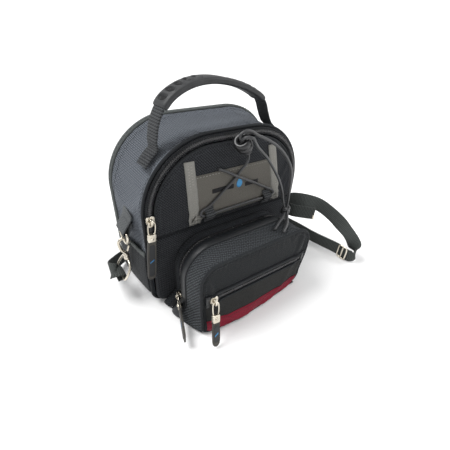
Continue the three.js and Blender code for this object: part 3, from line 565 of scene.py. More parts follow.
def tube(name, path, radius, look, sides=12, closed=False, taper=None):
    """A round tube along a path. taper scales its radius point by point."""
    along = tangents(path, closed)
    normal = carried_normals(path, closed)
    other = np.cross(along, normal)
    scale = np.ones(len(path)) if taper is None else np.asarray(taper)
    rings = []
    angles = np.linspace(0, 2 * math.pi, sides, endpoint=False)
    for p, n, o, s in zip(path, normal, other, scale):
        rings.append(p + radius * s * (np.cos(angles)[:, None] * n + np.sin(angles)[:, None] * o))
    rings = np.array(rings)
    if closed:
        rings = np.concatenate([rings, rings[:1]])
        return merged(grid_piece(name, rings, look, wrap=True))
    return grid_piece(name, rings, look, wrap=True, cap=True)


def grid_piece(name, points, look, wrap=False, cap=False, smooth=True):
    verts, faces, uv = grid_mesh(points, wrap, cap)
    return piece(name, verts, faces, look, uv, smooth)


def sweep(name, path, widths, profile, look, scales=None, cap=True, closed=False):
    """A profile of (across, out) pairs in metres, drawn along a path whose width directions are given."""
    along = tangents(path, closed)
    across = np.asarray(widths, float)
    across = unit(across - (across * along).sum(axis=1, keepdims=True) * along)
    out = np.cross(across, along)
    profile = np.asarray(profile, float)
    scales = np.ones((len(path), 2)) if scales is None else np.asarray(scales, float)
    rings = (
        path[:, None, :]
        + (profile[None, :, 0] * scales[:, :1])[:, :, None] * across[:, None, :]
        + (profile[None, :, 1] * scales[:, 1:])[:, :, None] * out[:, None, :]
    )
    if closed:
        rings = np.concatenate([rings, rings[:1]])
        return merged(grid_piece(name, rings, look, wrap=True))
    return grid_piece(name, rings, look, wrap=True, cap=cap)


def strap_profile(width, thick):
    """A flat woven strap's section, with rounded edges and a slightly fuller middle."""
    half, t = width / 2, thick / 2
    upper = [(-half, 0), (-half + 0.3 * t, 0.7 * t), (-half + t, t), (-half * 0.4, t * 1.08)]
    upper += [(-x, z) for x, z in reversed(upper)]
    lower = [(x, -z) for x, z in reversed(upper[1:-1])]
    return upper + lower


def rounded_profile(width, height, radius, steps=4):
    """A rectangle with round corners, as (across, out) pairs."""
    pairs = []
    for k, (sx, sz) in enumerate([(1, 1), (-1, 1), (-1, -1), (1, -1)]):
        for i in range(steps + 1):
            angle = math.pi / 2 * (k + i / steps)
            pairs.append(
                (
                    sx * (width / 2 - radius) + radius * math.cos(angle),
                    sz * (height / 2 - radius) + radius * math.sin(angle),
                )
            )
    return pairs


def merged(obj, distance=1e-6):
    """Joins points that lie together, such as the two ends of a closed sweep."""
    modifier = obj.modifiers.new("weld", "WELD")
    modifier.merge_threshold = distance
    return applied(obj)


def applied(obj):
    """Applies every modifier on a mesh."""
    bpy.context.view_layer.update()
    graph = bpy.context.evaluated_depsgraph_get()
    mesh = bpy.data.meshes.new_from_object(
        obj.evaluated_get(graph), preserve_all_data_layers=True, depsgraph=graph
    )
    obj.modifiers.clear()
    obj.data = mesh
    return obj


def thicken(obj, thickness, offset=-1.0, rim=True):
    modifier = obj.modifiers.new("thick", "SOLIDIFY")
    modifier.thickness = thickness
    modifier.offset = offset
    modifier.use_rim = rim
    modifier.use_even_offset = False
    return applied(obj)


def bevel(obj, width, segments=2, angle=40):
    modifier = obj.modifiers.new("bevel", "BEVEL")
    modifier.width = width
    modifier.segments = segments
    modifier.limit_method = "ANGLE"
    modifier.angle_limit = math.radians(angle)
    modifier.harden_normals = False
    return applied(obj)


def join(name, objects):
    """Several mesh objects as one, with their materials."""
    verts, faces, uv, slots, smooth = [], [], [], [], []
    materials = []
    for obj in objects:
        mesh, base = obj.data, len(verts)
        world = obj.matrix_world
        verts += [tuple(world @ v.co) for v in mesh.vertices]
        layer = mesh.uv_layers.active
        for polygon in mesh.polygons:
            faces.append(tuple(base + i for i in polygon.vertices))
            material = mesh.materials[polygon.material_index]
            if material not in materials:
                materials.append(material)
            slots.append(materials.index(material))
            smooth.append(polygon.use_smooth)
            uv += [tuple(layer.data[i].uv) if layer else (0.0, 0.0) for i in polygon.loop_indices]
        bpy.data.objects.remove(obj)
    mesh = bpy.data.meshes.new(name)
    mesh.from_pydata(verts, [], faces)
    layer = mesh.uv_layers.new(name="UVMap")
    layer.data.foreach_set("uv", np.array(uv, np.float32).ravel())
    for material in materials:
        mesh.materials.append(material)
    mesh.polygons.foreach_set("material_index", slots)
    mesh.polygons.foreach_set("use_smooth", smooth)
    made = bpy.data.objects.new(name, mesh)
    scene.collection.objects.link(made)
    return made


def settle(obj, held, pressure=0.0, gravity=0.0, slack=0.0, frames=16, cap=4.0, bending=0.5):
    """Runs a cloth simulation on a sheet held at some points. cap limits its movement, in millimetres."""
    rest = coordinates_of(obj.data)
    group = obj.vertex_groups.new(name="held")
    group.add([int(i) for i in held], 1.0, "REPLACE")
    modifier = obj.modifiers.new("cloth", "CLOTH")
    settings = modifier.settings
    settings.vertex_group_mass = "held"
    settings.quality = 5
    settings.mass = 0.05
    settings.tension_stiffness = settings.compression_stiffness = 12
    settings.shear_stiffness = 6
    settings.bending_stiffness = bending
    settings.shrink_min = -slack
    settings.use_pressure = pressure != 0
    settings.uniform_pressure_force = pressure
    settings.effector_weights.gravity = gravity
    modifier.collision_settings.use_collision = False
    modifier.collision_settings.use_self_collision = False
    modifier.point_cache.frame_start = 1
    modifier.point_cache.frame_end = frames
    for number in range(1, frames + 1):
        scene.frame_set(number)
    applied(obj)
    obj.vertex_groups.clear()
    moved = coordinates_of(obj.data) - rest
    moved[~np.isfinite(moved)] = 0
    length = np.linalg.norm(moved, axis=1, keepdims=True)
    moved *= np.minimum(1.0, cap * MM / np.maximum(length, 1e-9))
    move_points(obj.data, rest + moved)
    scene.frame_set(1)
    return obj


# ---- Outlines ----


@dataclass(frozen=True)
class Arch:
    """Straight sides, a wide arch on top and small corners at the foot, in millimetres."""

    width: float
    top: float
    radius: float
    foot: float = 10.0
    bottom: float = 2.0

    def inset(self, by):
        radius, foot = max(self.radius - by, 2.0), max(self.foot - by, 1.5)
        return Arch(self.width - 2 * by, self.top - by, radius, foot, self.bottom + by)

    def toward(self, other, share):
        a, b = self, other
        return Arch(*(x + (y - x) * share for x, y in zip(vars(a).values(), vars(b).values())))

    def arc(self, side, low, start, end, count=24):
        """A corner's (x, z) points. low picks the foot's corners."""
        radius = self.foot if low else self.radius
        x = side * (self.width / 2 - radius)
        z = self.bottom + radius if low else self.top - radius
        angles = np.radians(np.linspace(start, end, count))
        return np.stack([x + radius * np.cos(angles), z + radius * np.sin(angles)], axis=1)

    def over(self, from_z, count):
        """From from_z on the left, over the top, to from_z on the right."""
        half = self.width / 2
        line = np.vstack(
            [[[-half, from_z]], self.arc(-1, False, 180, 90), self.arc(1, False, 90, 0), [[half, from_z]]]
        )
        return resample(line, count)

    def loop(self, count):
        """The whole outline, starting in the middle of the foot and going to the left first."""
        line = np.vstack(
            [
                [[0, self.bottom]],
                self.arc(-1, True, 270, 180),
                self.arc(-1, False, 180, 90),
                self.arc(1, False, 90, 0),
                self.arc(1, True, 0, -90),
            ]
        )
        return resample(line, count, closed=True)

    def sides(self, across, up, from_z=None):
        """(foot, top, left, right) lines that meet at four corners, for a patch."""
        half = self.width / 2
        if from_z is None:
            foot = np.vstack([self.arc(-1, True, 225, 270), self.arc(1, True, 270, 315)])
            left_foot, right_foot = self.arc(-1, True, 225, 180), self.arc(1, True, 315, 360)
        else:
            foot = np.array([[-half, from_z], [half, from_z]])
            left_foot, right_foot = foot[:1], foot[1:]
        left = np.vstack([left_foot, self.arc(-1, False, 180, 135)])
        right = np.vstack([right_foot, self.arc(1, False, 0, 45)])
        top = np.vstack([self.arc(-1, False, 135, 90), self.arc(1, False, 90, 45)])
        return resample(foot, across), resample(top, across), resample(left, up), resample(right, up)

    def lower_sides(self, across, up, high):
        """The same four lines for the part below a height, which is on the straight sides."""
        half = self.width / 2
        foot = np.vstack([self.arc(-1, True, 225, 270), self.arc(1, True, 270, 315)])
        top = np.array([[-half, high], [half, high]])
        left = np.vstack([self.arc(-1, True, 225, 180), top[:1]])
        right = np.vstack([self.arc(1, True, 315, 360), top[1:]])
        return resample(foot, across), resample(top, across), resample(left, up), resample(right, up)


def at_depth(outline, y):
    """(x, z) pairs in millimetres as points in metres, at one y."""
    outline = np.asarray(outline, float)
    y = np.full(len(outline), y) if np.isscalar(y) else np.asarray(y, float)
    return np.stack([outline[:, 0], y, outline[:, 1]], axis=1) * MM


def patch(foot, top, left, right):
    """A grid of (x, z) pairs that fills four lines."""
    u = np.linspace(0, 1, len(foot))[None, :, None]
    v = np.linspace(0, 1, len(left))[:, None, None]
    ruled = (1 - v) * foot[None] + v * top[None] + (1 - u) * left[:, None] + u * right[:, None]
    corners = (
        (1 - u) * (1 - v) * foot[0] + u * (1 - v) * foot[-1] + (1 - u) * v * top[0] + u * v * top[-1]
    )
    return ruled - corners


def edge_distance(points, outline):
    """How far each (x, z) pair is from the nearest point of an outline."""
    flat = points.reshape(-1, 2)
    best = np.full(len(flat), 1e9)
    for start in range(0, len(outline), 64):
        part = outline[start : start + 64]
        best = np.minimum(best, np.linalg.norm(flat[:, None] - part[None], axis=2).min(axis=1))
    return best.reshape(points.shape[:2])


def pillow(name, sides, look, rim_y, face_y, crown, base_y, roll=7.0, **cloth):
    """A padded panel inside four lines: a crowned face with rounded edges, and a flat back.

    The face looks towards face_y - base_y. It is returned with its border and base_y for closed_pillow.
    """
    flat = patch(*sides)
    border = np.vstack([sides[0], sides[3], sides[1][::-1], sides[2][::-1]])
    distance = edge_distance(flat, resample(border, 500, closed=True))
    edge = np.sqrt(np.clip(1 - (1 - np.clip(distance / roll, 0, 1)) ** 2, 0, 1))
    swell = np.sin(distance / distance.max() * math.pi / 2)
    y = rim_y + (face_y - rim_y) * edge + np.sign(face_y - base_y) * crown * swell
    face = planar_piece(name, np.stack([flat[..., 0], y, flat[..., 1]], axis=2) * MM, flat, look)
    ring = border_indices(*flat.shape[:2])
    if cloth:
        settle(face, ring, **cloth)
    return face, ring, base_y


def planar_piece(name, points, flat, look):
    """A grid whose UVs are its (x, z) in metres, so that a weave isn't stretched."""
    rows, cols = points.shape[:2]
    faces = [
        (i * cols + j, i * cols + j + 1, (i + 1) * cols + j + 1, (i + 1) * cols + j)
        for i in range(rows - 1)
        for j in range(cols - 1)
    ]
    pairs = flat.reshape(-1, 2) * MM
    uv = [pairs[i] for face in faces for i in face]
    return piece(name, points.reshape(-1, 3), faces, look, uv)


def border_indices(rows, cols):
    """The grid's outer points, in order round it."""
    foot = list(range(cols))
    right = [i * cols + cols - 1 for i in range(1, rows)]
    top = [(rows - 1) * cols + j for j in range(cols - 2, -1, -1)]
    left = [i * cols for i in range(rows - 2, 0, -1)]
    return foot + right + top + left


def closed_pillow(made, inner_look=None):
    """Closes a pillow's face with a skirt and a flat back at its base."""
    face, ring, base_y = made
    mesh = face.data
    co = coordinates_of(mesh)
    count = len(co)
    back = co.copy()
    back[:, 1] = base_y * MM
    faces = [tuple(p.vertices) for p in mesh.polygons]
    layer = mesh.uv_layers.active
    uv = [tuple(c.uv) for c in layer.data]
    back_faces = [tuple(count + i for i in f[::-1]) for f in faces]
    uv += [tuple(back[i - count][[0, 2]]) for f in back_faces for i in f]
    skirt = []
    for a, b in zip(ring, ring[1:] + ring[:1]):
        skirt.append((b, a, count + a, count + b))
        uv += [tuple(co[b][[0, 2]]), tuple(co[a][[0, 2]])]
        uv += [(back[a][0], back[a][2] + 0.004), (back[b][0], back[b][2] + 0.004)]
    look = mesh.materials[0]
    name = face.name
    bpy.data.objects.remove(face)
    verts = np.vstack([co, back])
    made = piece(name, verts, faces + back_faces + skirt, "lining", uv)
    made.data.materials.clear()
    made.data.materials.append(look)
    made.data.materials.append(LOOKS[inner_look or "lining"])
    index = [0] * len(faces) + [1] * len(back_faces) + [0] * len(skirt)
    made.data.polygons.foreach_set("material_index", index)
    return outward(made)


def outward(obj):
    """Turns a closed mesh's faces to point out."""
    work = bmesh.new()
    work.from_mesh(obj.data)
    bmesh.ops.recalc_face_normals(work, faces=work.faces)
    work.to_mesh(obj.data)
    work.free()
    return obj


# ---- Laying things on a surface ----


class Surface:
    """Finds where a straight line meets a mesh, to lay trim and stitches on it."""

    def __init__(self, *objects):
        verts, faces = [], []
        for obj in objects:
            base = len(verts)
            verts += [tuple(obj.matrix_world @ v.co) for v in obj.data.vertices]
            faces += [tuple(base + i for i in p.vertices) for p in obj.data.polygons]
        self.tree = BVHTree.FromPolygons(verts, faces)

    def drop(self, point, direction, lift=0.0):
        """The first hit from a point, moved back along the line by lift."""
        direction = Vector(direction).normalized()
        hit = self.tree.ray_cast(Vector(point), direction)[0]
        if hit is None:
            near = self.tree.find_nearest(Vector(point))[0]
            hit = near if near is not None else Vector(point)
        return np.array(hit - direction * lift)

    def front(self, pairs, lift=0.0, start=-200.0):
        """(x, z) pairs in millimetres, laid on the surface from the front."""
        return np.array([self.drop(mm(x, start, z), (0, 1, 0), lift * MM) for x, z in pairs])


def sheet_on(name, surface, flat, look, lift, thick):
    """A thin sheet of cloth that follows a surface. flat is a grid of (x, z) pairs in millimetres."""
    rows, cols = flat.shape[:2]
    outer = surface.front(flat.reshape(-1, 2), lift + thick).reshape(rows, cols, 3)
    obj = planar_piece(name, outer, flat, look)
    return thicken(obj, thick * MM, offset=-1.0)


def rectangle(x0, x1, z0, z1, step=3.0):
    """A grid of (x, z) pairs that fills a rectangle."""
    across = max(2, int(abs(x1 - x0) / step) + 1)
    up = max(2, int(abs(z1 - z0) / step) + 1)
    xs, zs = np.meshgrid(np.linspace(x0, x1, across), np.linspace(z0, z1, up))
    return np.stack([xs, zs], axis=2)


def quad(foot_left, foot_right, top_right, top_left, step=3.0):
    """A grid of (x, z) pairs that fills a straight-sided figure."""
    corners = [np.array(c, float) for c in (foot_left, foot_right, top_right, top_left)]
    across = max(2, int(np.linalg.norm(corners[1] - corners[0]) / step) + 1)
    up = max(2, int(np.linalg.norm(corners[3] - corners[0]) / step) + 1)
    u = np.linspace(0, 1, across)[None, :, None]
    v = np.linspace(0, 1, up)[:, None, None]
    a, b, c, d = corners
    return (1 - u) * (1 - v) * a + u * (1 - v) * b + u * v * c + (1 - u) * v * d


# ---- Stitches and zips ----

STITCHES = {}


def stitch(body, path, outs, look="thread", pitch=3.0, length=2.1, thick=0.55):
    """A row of stitches along a path, kept until all of a body's stitches are made at once."""
    path, outs = np.asarray(path), np.asarray(outs, float)
    if outs.ndim == 1:
        outs = np.tile(outs, (len(path), 1))
    total = np.linalg.norm(np.diff(path, axis=0), axis=1).sum()
    count = max(2, int(total / (pitch * MM)))
    joined = resample(np.hstack([path, outs]), count)
    places, normals = joined[:, :3], unit(joined[:, 3:])
    along = tangents(places)
    side = unit(np.cross(along, normals))
    STITCHES.setdefault((body, look), []).append(
        (places, along, normals, side, length * MM / 2, thick * MM / 2)
    )


def make_stitches():
    """Every row of stitches, as one mesh for each body and thread."""
    section = [(0, 1), (0.9, 0.3), (0.9, -0.3), (0, -0.6), (-0.9, -0.3), (-0.9, 0.3)]
    for (body, look), rows in sorted(STITCHES.items()):
        verts, faces = [], []
        for places, along, normals, side, half, thick in rows:
            for p, a, n, s in zip(places, along, normals, side):
                base = len(verts)
                verts.append(p - a * half)
                for reach, fat in ((-0.6, 1.0), (0.6, 1.0)):
                    verts += [p + a * half * reach + (s * x + n * z) * thick * fat for x, z in section]
                verts.append(p + a * half)
                for k in range(6):
                    j = (k + 1) % 6
                    faces.append((base, base + 1 + j, base + 1 + k))
                    faces.append((base + 1 + k, base + 1 + j, base + 7 + j, base + 7 + k))
                    faces.append((base + 13, base + 7 + k, base + 7 + j))
        obj = piece(f"stitches_{body}_{look}", verts, faces, look)
        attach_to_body(obj, body)


def coil(name, path, outs, width, look="coil", pitch=1.25, height=0.9):
    """A zip's closed coil: short round teeth side by side across the zip, one from each side in turn."""
    total = np.linalg.norm(np.diff(path, axis=0), axis=1).sum()
    count = int(total / (pitch * MM))
    joined = resample(np.hstack([path, outs]), count)
    places, normals = joined[:, :3], unit(joined[:, 3:])
    along = tangents(places)
    side = unit(np.cross(along, normals))
    verts, faces = [], []
    steps = 6
    angles = np.linspace(0, 2 * math.pi, steps, endpoint=False)
    for n, (p, a, o, s) in enumerate(zip(places, along, normals, side)):
        turn = 1 if n % 2 else -1
        spans = [(-0.95, 0.35), (-0.62, 0.95), (0.1, 1.0), (0.5, 0.55)]
        base = len(verts)
        for across, fat in spans:
            middle = p + s * (turn * across * width * MM / 2) + o * (height * MM * 0.35 * fat)
            ring = middle + (
                np.cos(angles)[:, None] * a * pitch * 0.42 * MM * fat
                + np.sin(angles)[:, None] * o * height * 0.75 * MM * fat
            )
            verts += list(ring)
        for level in range(len(spans) - 1):
            for k in range(steps):
                j = (k + 1) % steps
                low, high = base + level * steps, base + (level + 1) * steps
                quad_face = (low + k, low + j, high + j, high + k)
                faces.append(quad_face if turn > 0 else quad_face[::-1])
        last = base + (len(spans) - 1) * steps
        first_cap = tuple(base + k for k in range(steps))
        last_cap = tuple(last + k for k in range(steps))
        faces.append(first_cap[::-1] if turn > 0 else first_cap)
        faces.append(last_cap if turn > 0 else last_cap[::-1])
    return piece(name, verts, faces, look)


# ---- Driving sizes, as the frame has them ----

FRONT_Y = -38.0
BACK_Y = 38.0
FRONT = Arch(214, 206, 79, 16, 1.8)
BACK = Arch(232, 210, 76, 18, 1.8)
FLAP_FOOT = 104.0
LOWER_TOP = 100.0
FLAP = replace(FRONT.inset(9), bottom=1.8)
POCKET = Arch(160, 94, 38, 10, 1.8)
POCKET_FRONT_Y = -108.0
SLIT_Z = 50.0
SIDES = ((-1, "left"), (1, "right"))


def arch_at(y):
    """The bag's outline at a depth: it widens from its front to its back."""
    return FRONT.toward(BACK, (y - FRONT_Y) / (BACK_Y - FRONT_Y))


def wall_x(y):
    return arch_at(y).width / 2


def make_gusset():
    """The main compartment's side wall: one padded sheet round the bag, held by its two rims."""
    rows = 26
    rim = 3.6
    ys = np.linspace(FRONT_Y + rim, BACK_Y - 0.5, rows)
    points = np.array([at_depth(arch_at(y).loop(280), y) for y in ys])
    outer = merged(grid_piece("main_gusset_padded", points, "ballistic", wrap=True))
    count = points.shape[1]
    z = points[:, :, 2].ravel()
    held = [i for i in range(rows * count) if i < 2 * count or i >= (rows - 1) * count or z[i] < 14 * MM]
    settle(outer, held, gravity=0.6, slack=0.012, pressure=0.25, frames=18, cap=2.6, bending=1.5)
    outward_sheet(outer)
    thicken(outer, 3.2 * MM, offset=-1.0)
    attach(outer, "bag", "ballistic_fabric", "main_gusset")

    surface = Surface(outer)
    for y in (FRONT_Y + 9.5, BACK_Y - 8.0):
        line = arch_at(y).inset(-0.25).over(14, 400)
        middle = at_depth(line, y)
        outs = radial(line)
        path = np.array([surface.drop(p + o * 0.02, -o, 0.15 * MM) for p, o in zip(middle, outs)])
        stitch("bag", path, outs, pitch=3.2)


def radial(line):
    """Outward directions of an (x, z) line that runs over the top from the left."""
    step = np.gradient(np.asarray(line, float), axis=0)
    return unit(np.stack([-step[:, 1], np.zeros(len(step)), step[:, 0]], axis=1))


def outward_sheet(obj):
    """Turns a ring-shaped sheet's faces to point away from its axis."""
    work = bmesh.new()
    work.from_mesh(obj.data)
    work.faces.ensure_lookup_table()
    probe = max(work.faces, key=lambda f: f.calc_center_median().z)
    if probe.normal.z < 0:
        bmesh.ops.reverse_faces(work, faces=work.faces)
    work.to_mesh(obj.data)
    work.free()


def make_rims():
    """Piping along the gusset's front edge, and a bound seam along its back edge."""
    line = replace(FRONT.inset(-1.6), bottom=1.9).loop(320)
    front = tube("front_piping", at_depth(line, FRONT_Y + 2.2), 1.7 * MM, "piping", sides=12, closed=True)
    attach(front, "bag", "textured_fabric")
    path = at_depth(replace(BACK.inset(-0.4), bottom=2.3).loop(320), BACK_Y + 3.0)
    widths = np.tile([0.0, 1.0, 0.0], (len(path), 1))
    profile = [(x * 1.25, z * 0.8) for x, z in rounded_profile(7.0 * MM, 4.6 * MM, 2.2 * MM)]
    binding = sweep("back_binding", path, widths, profile, "binding", closed=True)
    attach(binding, "bag", "textured_fabric")
    edge = BACK.inset(-2.3).over(14, 420)
    stitch("bag", at_depth(edge, BACK_Y + 1.2), radial(edge), pitch=2.8)


def make_back():
    """The padded back panel, with two sewn channels."""
    arch = replace(BACK.inset(1.5), bottom=3.0)
    made = pillow(
        "back_pad", arch.sides(72, 64), "mesh", BACK_Y + 3.5, BACK_Y + 6.0, 1.6, BACK_Y + 0.3, roll=9,
        pressure=1.2, slack=0.01, frames=14, cap=1.6,
    )
    face = made[0]
    co = coordinates_of(face.data)
    x, z = co[:, 0] / MM, co[:, 2] / MM
    groove = np.exp(-(((np.abs(x) - 38) / 3.2) ** 2)) + np.exp(-(((z - 128) / 3.2) ** 2)) * (np.abs(x) > 38)
    co[:, 1] -= np.clip(groove, 0, 1) * 2.6 * MM
    move_points(face.data, co)
    back = closed_pillow(made)
    attach(back, "bag", "mesh_fabric", "back_panel")
    surface = Surface(back)
    for side in (-1, 1):
        line = [(side * 38, z) for z in np.linspace(14, 196, 60)]
        path = np.array([surface.drop(mm(x, 200, z), (0, -1, 0), 0.15 * MM) for x, z in line])
        stitch("bag", path, (0, 1, 0), pitch=3.4)
        line = [(side * t, 128) for t in np.linspace(42, 108, 24)]
        path = np.array([surface.drop(mm(x, 200, z), (0, -1, 0), 0.15 * MM) for x, z in line])
        stitch("bag", path, (0, 1, 0), pitch=3.4)


def make_lower_panel():
    arch = replace(FRONT.inset(2.5), bottom=3.0)
    sides = arch.lower_sides(60, 32, LOWER_TOP)
    made = closed_pillow(
        pillow("lower_panel", sides, "textured", FRONT_Y - 2.0, FRONT_Y - 5.0, 0.8, FRONT_Y - 0.3, roll=6.0)
    )
    attach(made, "bag", "textured_fabric", "lower_front_panel")


def make_flap():
    """The front flap: a padded panel inside the main zip, with piping round its edge."""
    made = pillow(
        "front_flap_padded", FLAP.sides(84, 52, FLAP_FOOT), "textured", FRONT_Y - 2.4, FRONT_Y - 5.6, 2.6,
        FRONT_Y - 0.5, roll=6, pressure=0.9, slack=0.012, gravity=0.5, frames=16, cap=1.4,
    )
    flap = closed_pillow(made)
    attach(flap, "flap", "textured_fabric", "front_flap")
    edge = FLAP.inset(1.2).over(FLAP_FOOT + 1, 300)
    piping = tube("flap_piping", at_depth(edge, FRONT_Y - 3.0), 1.3 * MM, "piping", sides=10)
    attach(piping, "flap", "textured_fabric")
    surface = Surface(flap)
    inner = FLAP.inset(6.0).over(FLAP_FOOT + 3, 320)
    stitch("flap", surface.front(inner, 0.15), (0, -1, 0), pitch=3.0)
    return flap, surface


def make_main_zip():
    """The main zip: woven tape either side of a coil, from the flap's foot over the top."""
    middle = FRONT.inset(4.0)
    rows = []
    for reach, y in ((-3.9, -39.0), (-3.4, -39.9), (-2.4, -40.0), (2.4, -40.0), (3.2, -39.9), (3.5, -39.0)):
        rows.append(at_depth(middle.inset(reach).over(FLAP_FOOT, 300), y))
    tape = grid_piece("main_zip_tape", np.array(rows), "tape")
    thicken(tape, 0.7 * MM, offset=0.0)
    attach(tape, "bag", "zip_coil", "main_zip_coil")
    path = at_depth(middle.over(FLAP_FOOT + 1, 900), -40.6)
    outs = np.tile([0.0, -1.0, 0.0], (len(path), 1))
    teeth = coil("main_zip_teeth", path, outs, 5.0)
    attach(teeth, "bag", "zip_coil")
    for reach in (-3.1, 3.0):
        line = middle.inset(reach).over(FLAP_FOOT + 2, 500)
        stitch("bag", at_depth(line, -40.5), (0, -1, 0), pitch=2.6, length=1.7, thick=0.45)


def make_fold():
    """The strip of cloth that the flap folds on."""
    zs = np.linspace(LOWER_TOP - 4, FLAP_FOOT + 4, 9)
    xs = np.linspace(-97, 97, 60)
    rows = np.array([[mm(x, FRONT_Y - 1.6, z) for x in xs] for z in zs])
    strip = grid_piece("flap_fold_strip", rows, "lining")
    thicken(strip, 0.9 * MM, offset=0.0)
    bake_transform(strip)


LABEL = [(-43.5, 112.5), (64, 112), (53.5, 167.5), (-55, 167)]
LEFT_STRIP = [(-58.5, 103), (-45, 103), (-51, 184), (-62.5, 184)]
RIGHT_STRIP = [(65, 103), (78.4, 103), (59.5, 184), (48, 184)]


def make_label(surface):
    """The grey label, its two side strips with zigzag stitching, and a plain emblem."""
    left = sheet_on("label_strip_left", surface, quad(*LEFT_STRIP), "strip", 0.25, 0.7)
    right = sheet_on("label_strip_right", surface, quad(*RIGHT_STRIP), "strip", 0.25, 0.7)
    field = sheet_on("label_field", surface, quad(*LABEL), "grey", 0.3, 0.5)
    for obj in (left, right, field):
        attach(obj, "flap", "grey_fabric")
    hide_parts("label_patch")
    laid = Surface(left, right, field)
    for strip in (LEFT_STRIP, RIGHT_STRIP):
        foot = (strip[0][0] + strip[1][0]) / 2
        head = (strip[2][0] + strip[3][0]) / 2
        rows = np.arange(106, 182, 1.6)
        zigzag = [
            (foot + (head - foot) * (z - 103) / 81 + (1.7 if n % 2 else -1.7), z) for n, z in enumerate(rows)
        ]
        line = laid.front(zigzag, 0.12)
        for a, b in zip(line, line[1:]):
            stitch("flap", np.array([a, b]), (0, -1, 0), "pale_thread", pitch=2.0, length=2.0, thick=0.5)
    for z, ends in ((164.6, (-52, 52)), (115.4, (-41, 60))):
        row = laid.front([(x, z) for x in np.linspace(*ends, 80)], 0.12)
        stitch("flap", row, (0, -1, 0), "pale_thread", pitch=3.6, length=2.2, thick=0.5)
    make_emblem(laid)


def make_emblem(surface):
    """A plain blue drop between two dark bars."""
    drop_at, size = (7.7, 146), 6.6
    angles = np.linspace(0, 2 * math.pi, 40, endpoint=False)
    outline = []
    for t in angles:
        pinch = 1 - 0.92 * max(math.sin(t), 0) ** 1.6
        outline.append(
            (
                drop_at[0] + size * 0.62 * math.cos(t) * pinch,
                drop_at[1] + size * math.sin(t) * (1.25 if math.sin(t) > 0 else 0.85),
            )
        )
    emblem = flat_figure("emblem_drop", surface, outline, "blue")
    bars = []
    for name, x0, x1, z in (("left", -29.5, -0.5, 144.4), ("right", 16.5, 36.0, 142.4)):
        bar = rectangle(x0, x1, z - 2.7, z + 2.7, 1.3)
        bars.append(sheet_on(f"emblem_bar_{name}", surface, bar, "ink", 0.05, 0.25))
    for obj in (emblem, *bars):
        attach(obj, "flap", "grey_fabric")


def flat_figure(name, surface, outline, look, lift=0.05, thick=0.25):
    """A small flat figure laid on a surface: rings drawn in towards its middle."""
    outline = np.array(outline)
    middle = outline.mean(axis=0)
    rings = np.array([middle + (outline - middle) * s for s in (1.0, 0.75, 0.5, 0.25, 0.04)])
    laid = surface.front(rings.reshape(-1, 2), lift + thick).reshape(*rings.shape[:2], 3)
    laid = np.concatenate([laid[:1] + mm(0, thick, 0), laid])
    obj = grid_piece(name, laid, look, wrap=True, cap=True)
    return outward(obj)


# ---- Lace, cord lock and tails ----

LACE_RADIUS = 1.6
LOCK_TOP = mm(-8.5, -64, 205.3)
LOCK_AXIS = unit(np.array([0.62, 0.28, -0.733]))
TAIL_NEAR = points_mm(
    [
        [-7.2, -64.0, 203.4], [-8.2, -65.6, 205.6], [-7.4, -68.2, 208.4], [-4.4, -70.9, 209.3],
        [-0.6, -73, 208.1],
        [3.2, -71.8, 203.7], [10.8, -69.4, 195.2], [24.4, -68.5, 182.6], [37.2, -68.5, 166.6],
        [48.9, -69, 148.9],
        [56.3, -69.5, 132.8], [61, -69, 119], [65.8, -68.2, 107.5],
    ]
)
TAIL_FAR = points_mm(
    [
        [-7.6, -63.4, 204.4], [-8.9, -62.6, 207.6], [-8.4, -62.6, 210.2], [-3.4, -63.4, 213],
        [2.2, -64.4, 212.8],
        [10.5, -65.5, 208], [26.4, -67, 200], [41.7, -68, 189.9], [53.6, -69.5, 177.5], [62.6, -71.4, 162.3],
        [65.4, -72, 146.3], [66.4, -72, 131.7], [68.4, -70.8, 118.5], [70.4, -68.8, 107.5],
    ]
)
KNOT = mm(70, -68, 101.5)


def make_tails():
    """The lace's two free tails and the knot that ties them."""
    knot = make_knot()
    for name, route, node in (
        ("tail_near", TAIL_NEAR, "lace_tail_near"),
        ("tail_far", TAIL_FAR, "lace_tail_far"),
    ):
        path = spline(route, 1.4 * MM)
        tail = tube(name, path, LACE_RADIUS * MM, "cord", sides=12)
        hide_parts(node)
        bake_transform(tail)


def make_knot():
    """An overhand knot of both tails, and their two short ends."""
    turns = []
    for lean, size, rise in ((0.35, 4.2, 2.0), (0.35, 4.3, -1.9), (-0.9, 3.8, 0.0)):
        angles = np.linspace(0, 2 * math.pi, 40, endpoint=False)
        ring = np.stack(
            [
                size * 1.1 * np.cos(angles),
                size * 0.95 * np.sin(angles),
                rise + size * lean * np.cos(angles) + 0.5 * np.sin(2 * angles),
            ],
            axis=1,
        )
        turns.append(tube("turn", KNOT + ring * MM, 1.9 * MM, "cord", sides=10, closed=True))
    middle = KNOT + points_mm([[0, 0, 5], [0.2, 0, 1], [-0.4, -0.6, -1], [-2, -2, -2.4]])
    heart = tube("heart", middle, 2.6 * MM, "cord")
    x, y, z = KNOT / MM
    routes = [
        [
            [x - 1, y - 1, z - 1], [x - 11, y - 8, z - 2.2], [x - 25, y - 15.5, z - 2.7],
            [x - 40, y - 24, z - 2.9],
        ],
        [
            [x + 1, y - 1, z - 1], [x - 7, y - 11, z - 2.2], [x - 19, y - 23, z - 2.7],
            [x - 34, y - 33, z - 3.2],
        ],
    ]
    ends = []
    for route in routes:
        path = spline(points_mm(route), 1.2 * MM)
        fray = np.ones(len(path))
        fray[-1] = 0.75
        ends.append(tube("end", path, (LACE_RADIUS + 0.3) * MM, "cord", taper=fray))
    knot = join("lace_knot_tied", [*turns, heart, *ends])
    attach(knot, "bag", "elastic_cord", "lace_knot")
    return knot


